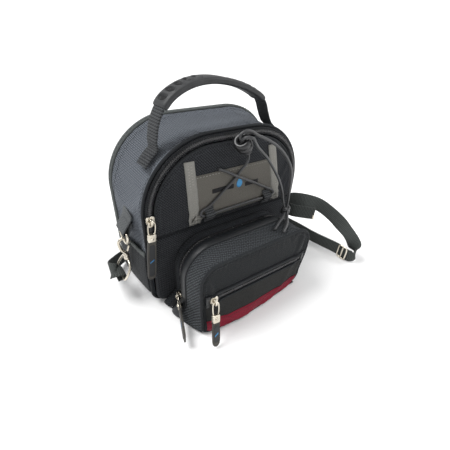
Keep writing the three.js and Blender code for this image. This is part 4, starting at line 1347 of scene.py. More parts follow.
def make_lace(surface):
    """The bungee lace on the label, along its foot and crossed above it, and the two loops that hold it."""

    def on(x, z, lift):
        return surface.front([(x, z)], lift)[0]

    route = [
        mm(5.4, -58.4, 189), mm(10.0, -55.2, 181.5), mm(10.6, -52.6, 173),
        on(6, 163.5, 3.6), on(-1.2, 154.5, 2.4), on(-14, 143.5, 1.9), on(-26.5, 133, 1.9),
        on(-36, 126.8, 1.9), on(-44, 124.6, 2.0), on(-47, 121.4, 2.4), on(-44, 118.6, 2.8),
        on(-35, 118.0, 3.0), on(-24, 118, 2.8), on(-8, 117.8, 2.2), on(8, 117.8, 1.9),
        on(30, 118, 2.2), on(42, 118, 2.9), on(50, 118, 3.0), on(58, 118.5, 2.8),
        on(61.5, 121.4, 2.4), on(58.8, 125.0, 2.1), on(51.5, 129, 2.0), on(40, 135.6, 1.9),
        on(26.4, 143.6, 2.6), on(12, 151.6, 4.4), on(1, 157.8, 6.0), on(-6, 161.8, 4.2),
        on(-14, 166, 2.2), on(-22.5, 170, 1.4),
    ]
    path = spline(np.array(route), 1.3 * MM)
    lace = tube("bungee_lace_laid", path, LACE_RADIUS * MM, "cord", sides=12)
    attach(lace, "flap", "elastic_cord", "bungee_lace")
    for name, x, z in (("lace_loop_left", -35, 118), ("lace_loop_right", 50, 118)):
        base = on(x, z, 0)[1] / MM
        ring = spline(
            points_mm(
                [
                    [x, base - 0.7, z - 9], [x, base - 1.2, z - 5], [x, base - 4.6, z - 3.2],
                    [x, base - 6.0, z], [x, base - 4.6, z + 3.2], [x, base - 1.2, z + 5],
                    [x, base - 0.7, z + 9],
                ]
            ),
            0.8 * MM,
        )
        widths = np.tile([1.0, 0, 0], (len(ring), 1))
        loop = sweep(f"{name}_tape", ring, widths, strap_profile(12 * MM, 1.1 * MM), "webbing")
        attach(loop, "flap", "webbing", name)
        for dz in (-7.5, 7.5):
            line = [mm(x + d, base - 1.5, z + dz) for d in np.linspace(-5, 5, 6)]
            stitch("flap", np.array(line), (0, -1, 0), pitch=2.0, length=1.5)


def lathe(name, profile, look, origin, axis, sides=32):
    """A turned piece. profile holds (radius, distance along the axis) pairs in millimetres."""
    axis = unit(np.asarray(axis, float))
    seed = np.array([0, 1.0, 0]) if abs(axis[1]) < 0.9 else np.array([1.0, 0, 0])
    u = unit(np.cross(axis, seed))
    v = np.cross(axis, u)
    angles = np.linspace(0, 2 * math.pi, sides, endpoint=False)
    rings = [
        origin + axis * reach * MM + radius * MM * (
            np.cos(angles)[:, None] * u + np.sin(angles)[:, None] * v
        )
        for radius, reach in profile
    ]
    return outward(grid_piece(name, np.array(rings), look, wrap=True, cap=True))


def make_cord_lock():
    """A barrel with a thick lip and two grooves, and the sprung plunger under it."""
    tiny = 0.05
    barrel = [
        (tiny, 3.6), (3.3, 3.6), (3.7, 2.6), (4.3, 1.1), (5.6, 0.2), (7.2, 0.0), (8.6, 0.9), (9.5, 2.8),
        (9.4, 5.2),
        (8.6, 6.8), (8.0, 7.4), (8.0, 8.2), (8.7, 8.9), (9.0, 11.0), (8.7, 13.4), (7.8, 14.8), (6.6, 15.0),
        (6.0, 14.4),
        (6.0, 5.6), (tiny, 5.6),
    ]
    body = lathe("cord_lock_barrel", barrel, "plastic", LOCK_TOP, LOCK_AXIS, 40)
    attach(body, "flap", "black_plastic", "cord_lock")
    plunger = [
        (tiny, 10.2), (5.0, 10.2), (5.5, 10.8), (5.5, 18.0), (4.9, 18.8), (4.9, 19.4), (5.6, 20.1),
        (5.7, 21.2),
        (4.9, 22.2), (3.0, 22.7), (tiny, 22.8),
    ]
    knob = lathe("cord_lock_knob", plunger, "plastic", LOCK_TOP, LOCK_AXIS, 32)
    attach(knob, "lock_plunger", "black_plastic", "cord_lock_plunger")


# ---- Front pocket ----

RAIN_BACK_Y, RAIN_FRONT_Y = -62.0, -77.0
BAND_FRONT_Y = -105.5
POCKET_FACE = Arch(157, 94.5, 22, 10, 2.6)
POCKET_SEAM = Arch(165, 96.5, 37, 10, 2.0)
POCKET_MOUTH = Arch(163, 95.5, 39, 10, 2.0)


SPREAD, SPREAD_TOP_Z, SPREAD_DEPTH = 18.0, 21.0, 62.0
BOW, BOW_X, BOW_WIDTH, BOW_TOP_Z = 8.0, -28.0, 58.0, 43.0
RECEDE, RECEDE_X, RECEDE_TOP_Z = 6.0, 42.0, 64.0


def eased(value):
    """0 to 1 with a soft start and end."""
    t = np.clip(value, 0, 1)
    return t * t * (3 - 2 * t)


def slouch(points):
    """The pocket's soft foot: its sides spread towards the bag, and its face bows forward."""
    p = np.array(points, float) / MM
    x, y, z = p[..., 0].copy(), p[..., 1].copy(), p[..., 2]
    behind = np.clip((y + 109) / SPREAD_DEPTH, 0, 1) ** 0.8
    spread = SPREAD * behind * eased((SPREAD_TOP_Z - z) / 19)
    p[..., 0] += np.sign(x) * spread * np.clip(np.abs(x) / 78, 0, 1) ** 4
    near_face = eased((-y - 94) / 12)
    bow = BOW * np.exp(-(((x - BOW_X) / BOW_WIDTH) ** 2)) * eased((BOW_TOP_Z - z) / 36)
    recede = RECEDE * eased((x - RECEDE_X) / 40) * eased((RECEDE_TOP_Z - z) / 60)
    p[..., 1] += near_face * (recede - bow)
    return p * MM


def slouched(obj):
    """Gives a finished mesh the pocket's soft foot."""
    move_points(obj.data, slouch(coordinates_of(obj.data)))
    return obj


def band_rows(stations, from_z, count=220):
    """Rows of a band over an arch. A station is (arch, y, lift) in millimetres."""
    return slouch([at_depth(arch.inset(-lift).over(from_z, count), y) for arch, y, lift in stations])


def make_pocket_gusset():
    """The pocket's wall next to the bag, and the floor inside it."""
    wall = band_rows(
        [(POCKET, y, lift) for y, lift in zip(np.linspace(-44.6, -55.2, 6), (0, 0.3, 0.5, 0.5, 0.3, 0))],
        2.6,
    )
    gusset = grid_piece("pocket_gusset_wall", wall[::-1], "shaded")
    outward_sheet(gusset)
    thicken(gusset, 2.6 * MM, offset=-1.0)
    attach(gusset, "bag", "textured_fabric", "pocket_gusset")
    for y in (-47.0, -52.0):
        line = POCKET.inset(-0.6).over(4, 300)
        stitch("bag", slouch(at_depth(line, y)), radial(line), pitch=2.8)

    flat = [[mm(x, y, 2.7) for x in np.linspace(-79, 79, 60)] for y in np.linspace(-64, -44.6, 7)]
    floor = grid_piece("pocket_gusset_floor", slouch(flat), "lining")
    thicken(floor, 1.2 * MM, offset=0.0)
    attach(floor, "bag", "textured_fabric")


def make_pocket_zip():
    tape = grid_piece(
        "pocket_zip_tape", band_rows([(POCKET, -55.3, 0.1), (POCKET, -61.5, 0.1)], 5)[::-1], "tape"
    )
    outward_sheet(tape)
    thicken(tape, 1.2 * MM, offset=-1.0)
    attach(tape, "bag", "zip_coil", "pocket_zip_coil")
    line = POCKET.inset(-0.3).over(6, 700)
    teeth = coil("pocket_zip_teeth", slouch(at_depth(line, -58.6)), radial(line), 4.4)
    attach(teeth, "bag", "zip_coil")


def make_rain_flap():
    """The smooth, puffed strip that covers the pocket's zip."""
    stations = []
    for t in np.linspace(0, 1, 8):
        lift = 1.9 * math.sin(math.pi * min(t * 1.05, 1.0)) ** 0.7 if t < 0.96 else 0.0
        stations.append(
            (POCKET_MOUTH.toward(POCKET_SEAM, t), RAIN_BACK_Y + (RAIN_FRONT_Y - RAIN_BACK_Y) * t, lift)
        )
    rain = grid_piece("pocket_rain_flap", band_rows(stations, 3.0)[::-1], "gloss")
    outward_sheet(rain)
    thicken(rain, 2.2 * MM, offset=-1.0)
    attach(rain, "pocket", "smooth_fabric")


def band_arch(share):
    """The band's outline, from its seam at 0 to the pocket's face at 1."""
    return POCKET_SEAM.toward(POCKET_FACE.inset(-0.6), share ** 1.3)


def make_pocket_band():
    """The padded band round the pocket, with a seam behind it and piping before it."""
    stations = []
    for t in np.linspace(0, 1, 14):
        lift = 1.4 * math.sin(math.pi * t) ** 0.8
        stations.append((band_arch(t), RAIN_FRONT_Y + (BAND_FRONT_Y - RAIN_FRONT_Y) * t, lift))
    rows = band_rows(stations, 3.0, 260)[::-1]
    band = grid_piece("pocket_band", rows, "ribbed")
    count = rows.shape[1]
    total = rows.shape[0] * count
    z = rows[:, :, 2].ravel()
    held = [i for i in range(total) if i < 2 * count or i >= total - 2 * count or z[i] < 8 * MM]
    settle(band, held, gravity=0.8, slack=0.012, pressure=0.3, frames=16, cap=1.6, bending=1.5)
    outward_sheet(band)
    thicken(band, 2.6 * MM, offset=-1.0)
    attach(band, "pocket", "textured_fabric")
    seam = POCKET_SEAM.inset(-0.3).over(3.5, 300)
    seam_tube = tube("pocket_seam", slouch(at_depth(seam, RAIN_FRONT_Y + 0.3)), 1.0 * MM, "piping", sides=10)
    attach(seam_tube, "pocket", "textured_fabric")
    laid = Surface(band)
    for y in (RAIN_FRONT_Y - 2.6, BAND_FRONT_Y + 3.2):
        t = (y - RAIN_FRONT_Y) / (BAND_FRONT_Y - RAIN_FRONT_Y)
        line = band_arch(t).over(5, 300)
        outs = radial(line)
        path = np.array(
            [laid.drop(p + o * 0.02, -o, 0.15 * MM) for p, o in zip(slouch(at_depth(line, y)), outs)]
        )
        stitch("pocket", path, outs, pitch=2.8)

    edge = slouch(at_depth(replace(POCKET_FACE.inset(-1.0), bottom=2.2).loop(300), BAND_FRONT_Y - 0.6))
    piping = tube("pocket_piping", edge, 1.7 * MM, "piping", closed=True)
    attach(piping, "pocket", "textured_fabric")


def make_pocket_face():
    """The pocket's padded face, and the strip of cloth that it folds on."""
    made = pillow(
        "pocket_face", POCKET_FACE.sides(80, 56), "smooth", BAND_FRONT_Y - 0.6, POCKET_FRONT_Y + 0.4, 1.4,
        BAND_FRONT_Y + 2.6, roll=5, pressure=1.2, slack=0.02, gravity=1.0, frames=18, cap=1.6,
    )
    face = slouched(closed_pillow(made))
    attach(face, "pocket", "smooth_fabric", "pocket_shell")
    surface = Surface(face)
    inner = POCKET_FACE.inset(4.5).over(8, 300)
    stitch("pocket", surface.front(inner, 0.15), (0, -1, 0), pitch=2.8)
    make_slit(face, surface)
    fold = np.array([[mm(x, y, 2.2) for x in np.linspace(-70, 70, 30)] for y in np.linspace(-99, -106.5, 7)])
    strip = grid_piece("pocket_fold_strip", fold, "lining")
    thicken(strip, 0.9 * MM, offset=0.0)
    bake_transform(strip)


def make_pocket():
    make_pocket_gusset()
    make_pocket_zip()
    make_rain_flap()
    make_pocket_band()
    make_pocket_face()


def make_slit(face, surface):
    """The slit pocket's zip, the darker strip under it and the red trim along the foot."""
    strip = sheet_on(
        "pocket_lower_strip", surface, quad((-74, 19), (74, 15), (75, SLIT_Z - 7), (-75, SLIT_Z - 7)),
        "brown", 0.1, 0.7,
    )
    attach(strip, "pocket", "smooth_fabric")
    trim = sheet_on(
        "pocket_red_trim", surface, quad((-75.5, 4.0), (74, 4.0), (74, 13.5), (-75.5, 20.5), 2.5), "red",
        0.3, 0.9,
    )
    attach(trim, "pocket", "red_fabric", "red_trim")
    backing = sheet_on(
        "slit_backing", surface, rectangle(-74, 74, SLIT_Z - 6, SLIT_Z + 6), "gloss", 0.1, 0.5
    )
    attach(backing, "pocket", "smooth_fabric")
    on = Surface(strip, trim, backing, face)
    line = on.front([(x, SLIT_Z) for x in np.linspace(-69, 70, 500)], 0.35)
    teeth = coil("slit_zip_teeth", line, np.tile([0.0, -1.0, 0.0], (len(line), 1)), 4.6)
    attach(teeth, "pocket", "zip_coil", "slit_zip_coil")
    for z, radius, name in ((SLIT_Z + 6.2, 1.5, "slit_lip_upper"), (SLIT_Z - 6.0, 1.2, "slit_lip_lower")):
        path = on.front([(x, z) for x in np.linspace(-75, 75, 90)], radius * 0.7)
        lip = tube(name, path, radius * MM, "piping", sides=10)
        attach(lip, "pocket", "smooth_fabric")
    for z in (SLIT_Z + 9.2, SLIT_Z - 8.4):
        path = on.front([(x, z) for x in np.linspace(-73, 73, 90)], 0.15)
        stitch("pocket", path, (0, -1, 0), pitch=2.8)
    path = on.front([(x, 17.5 - (x + 74) * 0.045) for x in np.linspace(-73, 72, 90)], 0.15)
    stitch("pocket", path, (0, -1, 0), "thread", pitch=2.8)
    for side, name in SIDES:
        corner = rectangle(side * 70.5, side * 75, SLIT_Z - 8, SLIT_Z + 8)
        garage = sheet_on(f"slit_garage_{name}", on, corner, "gloss", 0.9, 1.0)
        attach(garage, "pocket", "smooth_fabric")


# ---- Zip sliders and pulls ----

BRIDGE = 4.2
LINK_WIDTH, LINK_LENGTH = 8.6, 15.0
TAB_TOP = -LINK_LENGTH - 1.8
TAB_LENGTH = 49.0


def extruded(name, outline, y0, y1, look, edge=0.3):
    """An outline of (x, z) pairs in millimetres, drawn from y0 to y1 with bevelled edges."""
    outline = np.asarray(outline, float)
    count = len(outline)
    verts = [mm(x, y0, z) for x, z in outline] + [mm(x, y1, z) for x, z in outline]
    faces = [tuple(range(count)), tuple(range(2 * count - 1, count - 1, -1))]
    faces += [(i, count + i, count + (i + 1) % count, (i + 1) % count) for i in range(count)]
    obj = outward(piece(name, verts, faces, look, smooth=False))
    return bevel(obj, edge * MM) if edge else obj


def round_outline(width, low, high, radius, steps=6):
    """A rounded rectangle as (x, z) pairs."""
    half = width / 2
    out = []
    for k, (x, z) in enumerate(
        [
            (half - radius, high - radius), (radius - half, high - radius), (radius - half, low + radius),
            (half - radius, low + radius),
        ]
    ):
        for i in range(steps + 1):
            angle = math.pi / 2 * (k + i / steps)
            out.append((x + radius * math.cos(angle), z + radius * math.sin(angle)))
    return out


def slider_body():
    """A zip slider about its own origin, facing -Y, with the zip along Z."""
    shield = [
        (-2.4, -6.5), (2.4, -6.5), (3.2, -4.0), (4.1, 1.0), (4.2, 4.6), (3.4, 6.0), (1.6, 6.3), (0, 5.2)
    ]
    shield += [(-1.6, 6.3), (-3.4, 6.0), (-4.2, 4.6), (-4.1, 1.0), (-3.2, -4.0)]
    plate = extruded("plate", shield, -1.7, -0.3, "metal", 0.35)
    flange_left = extruded(
        "flange", [(-4.6, -2.0), (-4.0, -2.0), (-4.0, 4.4), (-4.6, 4.4)], -1.5, 0.9, "metal", 0.15
    )
    flange_right = extruded(
        "flange", [(4.0, -2.0), (4.6, -2.0), (4.6, 4.4), (4.0, 4.4)], -1.5, 0.9, "metal", 0.15
    )
    arch_path = points_mm(
        [
            [0, -1.4, -4.2], [0, -3.2, -4.1], [0, -5.4, -3.2], [0, -6.0, 0], [0, -5.4, 3.2], [0, -3.2, 4.1],
            [0, -1.4, 4.2],
        ]
    )
    path = spline(arch_path, 0.5 * MM)
    bridge = sweep(
        "bridge", path, np.tile([1.0, 0, 0], (len(path), 1)), rounded_profile(2.6 * MM, 1.1 * MM, 0.4 * MM),
        "metal",
    )
    return join("slider", [plate, flange_left, flange_right, bridge])


def pull_link():
    """The pull's wire link and the clamp with its rivet, hanging from the origin along -Z."""
    half = LINK_WIDTH / 2 - 0.75
    wire = points_mm(
        [
            [-half + 1, 0, 0], [half - 1, 0, 0], [half, 0, -1.2], [half, 0, -LINK_LENGTH + 3],
            [half - 1.2, 0, -LINK_LENGTH + 0.8], [1.2 - half, 0, -LINK_LENGTH + 0.8],
            [-half, 0, -LINK_LENGTH + 3], [-half, 0, -1.2],
        ]
    )
    ring = tube("ring", spline(wire, 0.6 * MM, closed=True), 0.72 * MM, "metal", sides=10, closed=True)
    clamp = extruded(
        "clamp", round_outline(9.0, -LINK_LENGTH - 8, 1.4 - LINK_LENGTH, 1.6), -1.75, 1.75, "metal", 0.4
    )
    domed = [(0.05, -0.9), (1.5, -0.75), (1.9, -0.2), (1.9, 4.0), (1.5, 4.4), (0.05, 4.5)]
    rivet = lathe("rivet", domed, "metal", mm(0, -1.85, -LINK_LENGTH - 3.4), (0, 1, 0), 20)
    return join("link", [ring, clamp, rivet])


def pull_tab(length):
    """The pull's rubber tab: a raised frame round a dark inset with a blue stripe, on both faces."""
    top = TAB_TOP + 0.5
    foot = TAB_TOP - length + 0.3
    outline = [
        (-4.2, top), (4.2, top), (4.9, top - 9), (5.0, foot + 7), (4.2, foot + 3.0), (2.4, foot + 0.8),
        (0, foot),
    ]
    outline += [(-2.4, foot + 0.8), (-4.2, foot + 3.0), (-5.0, foot + 7), (-4.9, top - 9)]
    slab = extruded("slab", outline, -0.95, 0.95, "pull", 0.45)
    middle = (top + foot) / 2 - 3
    parts = [slab]
    for face in (-1, 1):
        frame_ring = round_outline(8.0, foot + 5, top - 10, 2.6)
        path = spline(np.array([mm(x, face * 0.95, z) for x, z in frame_ring[::2]]), 0.8 * MM, closed=True)
        parts.append(tube("frame", path, 0.5 * MM, "pull", sides=8, closed=True))
        parts.append(
            extruded(
                "inset", round_outline(6.2, foot + 6, top - 11, 1.9), face * 0.9, face * 1.15, "inset", 0.1
            )
        )
        stripe = [(-2.3, middle - 2.6), (2.3, middle + 0.6), (2.3, middle + 2.4), (-2.3, middle - 0.8)]
        parts.append(extruded("stripe", stripe, face * 1.1, face * 1.3, "blue", 0.05))
    return join("tab", parts)


def placed(obj, name, matrix):
    obj.data.transform(matrix)
    obj.name = obj.data.name = name
    return obj


def turn(degrees, axis):
    return Matrix.Rotation(math.radians(degrees), 4, axis)


def make_zip(name, position, yaw, swing, lean, slipped=False, tab_length=TAB_LENGTH):
    """A zip's slider and pull where the frame has them."""
    base = Matrix.Translation(Vector(mm(*position))) @ turn(yaw, "Z")
    slip = Matrix.Translation(Vector(mm(LINK_WIDTH / 2 - 0.75, 0, 3.8))) if slipped else Matrix.Identity(4)
    pull = base @ Matrix.Translation(Vector(mm(0, -BRIDGE, 0))) @ turn(lean, "Y") @ turn(swing, "X") @ slip
    for made, part, node, body, slot in (
        (slider_body(), "slider_cast", "slider", "slider", "hardware_metal"),
        (pull_link(), "link_wire", "pull_link", "pull", "hardware_metal"),
        (pull_tab(tab_length), "tab_moulded", "pull_tab", "pull", "pull_rubber"),
    ):
        placed(made, f"{name}_{part}", base if node == "slider" else pull)
        attach(made, f"{name}_zip_{body}", slot, f"{name}_{node}")


def make_zips():
    make_zip("main", (-103, -41.8, 127), 0, 0, 5.5, tab_length=60)
    make_zip("slit", (-66, POCKET_FRONT_Y - 2.2, SLIT_Z), 0, -21, 12, tab_length=35.5)
    make_zip("pocket", (-81.1, -57.7, 17), -90, -19, -82, slipped=True)


# ---- Handle ----


HANDLE_YAW = 0.12
HANDLE = points_mm(
    [
        (x, HANDLE_YAW * x - 5, z)
        for x, z in (
            (-82.2, 201.8), (-81.2, 206), (-79.7, 214), (-76.2, 223), (-71, 231.5), (-63.5, 239),
            (-50, 246.3),
            (-33, 250.8), (-11, 251.6), (14, 247.6), (37.8, 240.4), (56, 232), (65.5, 226), (71.3, 218.5),
            (75, 210.5), (77.6, 205.5), (79.3, 202),
        )
    ]
)
HANDLE_ACROSS = unit(np.array([-HANDLE_YAW, 1.0, 0.0]))


def make_handle():
    """Each end of the handle's webbing: sewn down on the bag's shoulder, then free up into the grip."""
    for side in (-1, 1):
        depth = HANDLE_YAW * side * 84 - 5
        arch = arch_at(depth + 6)

        def on_corner(degrees, lift):
            angle = math.radians(degrees)
            x = side * (arch.width / 2 - arch.radius + (arch.radius + lift) * math.cos(angle))
            return mm(x, HANDLE_YAW * x - 5, arch.top - arch.radius + (arch.radius + lift) * math.sin(angle))

        free = HANDLE[:6] if side < 0 else HANDLE[:-7:-1]
        route = np.vstack([[on_corner(degrees, 2.4) for degrees in (37, 41, 45, 49, 52)], free])
        path = spline(route, 1.6 * MM)
        widths = np.tile(HANDLE_ACROSS, (len(path), 1))
        name = "left" if side < 0 else "right"
        leg = sweep(f"handle_leg_{name}", path, widths, strap_profile(19 * MM, 2.2 * MM), "webbing")
        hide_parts(f"handle_anchor_{name}", *(["handle_webbing"] if side > 0 else []))
        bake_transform(leg)
        out = np.array([side * math.cos(math.radians(43)), 0, math.sin(math.radians(43))])
        spots = [on_corner(degrees, 3.7) for degrees in (38.5, 48)]
        corners = [spot + HANDLE_ACROSS * y * MM for spot in spots for y in (-7.5, 7.5)]
        for a, b in ((0, 1), (2, 3), (0, 2), (1, 3), (0, 3), (1, 2)):
            bow = np.linspace(0, 1, 9)[:, None]
            bowed = corners[a] + (corners[b] - corners[a]) * bow + out * 3.0 * MM * bow * (1 - bow)
            stitch("bag", bowed, out, pitch=2.4, length=1.7)
    make_grip()


def make_grip():
    """The moulded grip: a bowed rubber sleeve with a row of oval recesses near each end of its top."""
    path = spline(HANDLE[4:-4], 0.7 * MM)
    lengths = np.concatenate([[0], np.cumsum(np.linalg.norm(np.diff(path, axis=0), axis=1))]) / MM
    half_length = lengths[-1] / 2
    s = lengths - half_length
    along = tangents(path)
    out = unit(np.cross(HANDLE_ACROSS, along))
    if out[len(out) // 2][2] < 0:
        out = -out
    sides = 72
    angles = np.linspace(0, 2 * math.pi, sides, endpoint=False)
    cos, sin = np.cos(angles), np.sin(angles)
    box_x = np.sign(cos) * np.abs(cos) ** 0.45
    box_z = np.sign(sin) * np.abs(sin) ** 0.62
    shares = np.array([0.06, 0.13, 0.20, 0.27, 0.34, 0.66, 0.73, 0.80, 0.87, 0.94])
    centres = (shares - 0.5) * 2 * half_length
    rings, marks = [], []
    for p, n, at in zip(path, out, s):
        end = np.clip((half_length - abs(at)) / 5.0, 0, 1)
        swell = 0.62 + 0.38 * math.sqrt(1 - (1 - end) ** 2)
        width = 11.4 * (0.88 + 0.12 * swell)
        height = 3.7 * swell
        x = box_x * width
        z = box_z * height
        nearest = centres[np.argmin(np.abs(centres - at))]
        oval = ((at - nearest) / 3.9) ** 2 + (x / 7.0) ** 2
        top = z > height * 0.55
        dip = np.where(top, np.clip((1 - oval) * 3.2, 0, 1), 0)
        rim = np.where(top, np.exp(-(((np.sqrt(oval) - 1.12) / 0.10) ** 2)), 0) * 0.35
        z = z - dip * 2.2 + rim
        rings.append(p + (x[:, None] * HANDLE_ACROSS + z[:, None] * n) * MM)
        marks.append(dip > 0.7)
    rings, marks = np.array(rings), np.array(marks)
    grip = outward(grid_piece("handle_grip_moulded", rings, "grip", wrap=True, cap=True))
    # Faces deep in each oval recess get the darker recess material: painted shade in the hollows.
    grip.data.materials.append(LOOKS["recess"])
    index = []
    for polygon in grip.data.polygons:
        spots = [marks[v // sides][v % sides] for v in polygon.vertices]
        index.append(1 if len(spots) == 4 and all(spots) else 0)
    grip.data.polygons.foreach_set("material_index", index)
    attach(grip, "handle", "grip_rubber", "handle_grip")


# ---- Straps, tabs and hooks ----

EYE_BAR_X, EYE_BAR_Z = 133.5, 35.5
RING_X, RING_Z = 122.0, 98.0
RING_DROP, RING_HALF = 17.0, 14.5
HOOK_Z = RING_Z - RING_DROP - 1.5
BARREL_Z = HOOK_Z - 17.0


def make_strap():
    """The shoulder strap, from one hook's eye round behind the bag to the other's."""
    wrap = 3.2
    bar, z = EYE_BAR_X, EYE_BAR_Z
    y = (0, 1, 0)
    up = (0, 0, 1)
    route = [
        ((bar + 7, 0, z - wrap - 0.5), y), ((bar + 3.5, 0, z - wrap - 0.2), y), ((bar, 0, z - wrap), y),
        ((bar - wrap, 0, z), y), ((bar, 0, z + wrap), y), ((bar + 5, 0, z + wrap + 3.5), y),
        ((139, -2, 56), (0.05, 0.95, 0.2)), ((141, -12, 69), (0.1, 0.8, 0.5)),
        ((150, -30, 74), (0.2, 0.5, 0.8)), ((168, -47, 69), (0.25, 0.35, 0.9)),
        ((174, -70, 62), (0.25, 0.3, 0.92)), ((178, -90, 52), (0.4, 0.3, 0.86)),
        ((186, -103, 38), (0.5, 0.3, 0.8)), ((189, -112, 27), (0.4, 0.1, 0.85)),
        ((187, -119, 19), (0.1, 0.2, 1)), ((181, -122, 13), up), ((176.4, -117, 11.2), up),
        ((176, -108, 11), up), ((175.5, -94, 11), up), ((171, -75, 11), up), ((166, -53, 11), up),
        ((161, -15, 11), up), ((150, 25, 11), up), ((120, 58, 11), up), ((70, 70, 11), up),
        ((0, 73, 11), up), ((-70, 69, 11), up), ((-112, 58, 12), (0, 0.1, 1)),
        ((-132, 42, 17), (0.1, 0.45, 0.85)), ((-141, 24, 27), (0.1, 0.8, 0.55)),
        ((-143, 8, 36.5), (0.05, 0.97, 0.2)), ((-139.5, 1, 39.2), y), ((-bar, 0, z + wrap), y),
        ((wrap - bar, 0, z), y), ((-bar, 0, z - wrap), y), ((-bar - 3.5, 0, z - wrap - 0.2), y),
        ((-bar - 7, 0, z - wrap - 0.5), y),
    ]
    joined = np.array([[*(np.array(p) * MM), *(np.array(w) * 0.02)] for p, w in route])
    path = spline(joined[:, :3], 0.8 * MM)
    shares = spline(joined, 0.8 * MM)
    shares = resample(shares, len(path))
    line, widths = shares[:, :3], unit(shares[:, 3:])
    cuts = [int(np.argmin(np.linalg.norm(line - at, axis=1))) for at in (mm(150, -30, 74), mm(-112, 58, 12))]
    spans = (
        ("shoulder_strap_end_right", 0, cuts[0], "hook_right", mm(bar, 0, z + 6)),
        ("shoulder_strap_woven", cuts[0], cuts[1], None, None),
        ("shoulder_strap_end_left", cuts[1], len(line) - 1, "hook_left", mm(-bar, 0, z + 6)),
    )
    for name, first, last, hook, eye in spans:
        part = slice(first, last + 1)
        strap = sweep(name, line[part], widths[part], strap_profile(20 * MM, 1.8 * MM), "strap")
        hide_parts("shoulder_strap")
        if hook is None:
            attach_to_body(strap, "bag")
        else:
            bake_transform(strap)


def make_buckle():
    """The strap's metal slider: a round-cornered wire frame with a bar, inside its CAD outline."""
    low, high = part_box("strap_slider")
    x0, y0, z0 = np.array(low) / MM
    x1, y1, z1 = np.array(high) / MM
    x, y, z = (x0 + x1) / 2, (y0 + y1) / 2, (z0 + z1) / 2
    wire = 1.2
    half = (z1 - z0) / 2 - wire
    outline = round_outline(y1 - y0 - 2 * wire, -half, half, 2.5)
    ring = spline(np.array([mm(x, y + a, z + b) for a, b in outline[::2]]), 0.8 * MM, closed=True)
    frame_wire = tube("buckle_frame", ring, 1.15 * MM, "metal", sides=10, closed=True)
    bar = tube(
        "buckle_bar", resample(points_mm([[x, y, z0 + 2], [x, y, z1 - 2]]), 12), wire * MM, "metal",
        sides=10,
    )
    attach(join("strap_buckle", [frame_wire, bar]), "bag", "hardware_metal", "strap_slider")


def make_ring_tab(side, name):
    """The folded tab of webbing that holds a D-ring."""
    root = side * (wall_x(12) + 1.15)
    x = side * RING_X
    turns = [math.radians(a) for a in range(0, 181, 30)]
    fold = [[x + side * 3.4 * math.cos(a), 0, RING_Z - 3.4 * math.sin(a)] for a in turns]
    route = [[root, -4, 124.5], [root + side * 2.6, -2.5, 114.5], *fold, [root, -1, 110.5]]
    path = spline(points_mm(route), 0.9 * MM)
    widths = np.tile([0.0, 1.0, 0.0], (len(path), 1))
    wide = np.ones((len(path), 2))
    wide[:, 0] = np.interp(np.linspace(0, 1, len(path)), [0, 0.3, 1], [1.12, 1.0, 1.0])
    tab = sweep(f"ring_tab_{name}", path, widths, strap_profile(24 * MM, 1.5 * MM), "tab", scales=wide)
    attach(tab, "bag", "webbing", f"tab_{name}")
    surface = Surface(tab)
    for z in (121.5, 113.5):
        starts = [mm(side * 160, y, z) for y in np.linspace(-16, 2, 12)]
        row = [surface.drop(start, (-side, 0, 0), 0.12 * MM) for start in starts]
        stitch("bag", np.array(row), (side, 0, 0), pitch=2.4, length=1.7)


def make_compression_tab():
    """The extra tab of webbing at the front on the right, with a metal clip at its end."""
    route = [[109.6, -32.5, 75], [109.4, -37, 75], [113, -45.5, 74.6], [124, -56, 73.8], [136, -66, 73]]
    path = spline(points_mm(route), 1.0 * MM)
    widths = np.tile([0.0, 0.0, 1.0], (len(path), 1))
    tab = sweep("compression_tab_woven", path, widths, strap_profile(20 * MM, 2.6 * MM), "strap")
    end = path[-1] - unit(path[-1] - path[-3]) * 1.0 * MM
    clip = tube(
        "clip", np.array([end + mm(0, 0, z) for z in np.linspace(-9.5, -2, 8)]), 1.9 * MM, "metal", sides=10
    )
    attach(join("compression_tab_with_clip", [tab, clip]), "bag", "webbing", "compression_tab")


def make_side_pocket(side, name):
    """An elastic mesh pocket, gathered along its bound top edge."""
    front, back = -30.0, 34.0
    rows = []
    for z in np.concatenate([[14.0], np.linspace(17, 74, 22)]):
        t = np.clip((z - 14) / 60, 0, 1)
        bulge = 5.6 * math.sin(math.pi * min(t * 0.85 + 0.06, 1)) ** 0.7 - 0.6
        row = []
        for y in np.linspace(front, back, 34):
            s = (y - front) / (back - front)
            arch = (4 * s * (1 - s)) ** 0.45
            gather = 0.35 * math.sin(s * 60) * t ** 2
            row.append(mm(side * (wall_x(y) + 1.1 + (bulge + gather) * arch), y, z))
        rows.append(row)
    rows = np.array(rows)
    pocket = grid_piece(f"side_pocket_{name}_mesh", rows if side > 0 else rows[:, ::-1], "mesh")
    thicken(pocket, 1.1 * MM, offset=0.0)
    attach(pocket, "bag", "mesh_fabric", f"side_pocket_{name}")
    edge = rows[-1] + mm(side * 0.2, 0, 0.6)
    widths = np.tile([0.0, 0.0, 1.0], (len(edge), 1))
    hem = sweep(f"side_pocket_{name}_hem", edge, widths, strap_profile(7 * MM, 2.4 * MM), "binding")
    attach(hem, "bag", "textured_fabric")
    for y in (front + 1.5, back - 1.5):
        row = [mm(side * (wall_x(y) + 2.2), y, z) for z in np.linspace(18, 70, 20)]
        stitch("bag", np.array(row), (side, 0, 0), pitch=3.0)


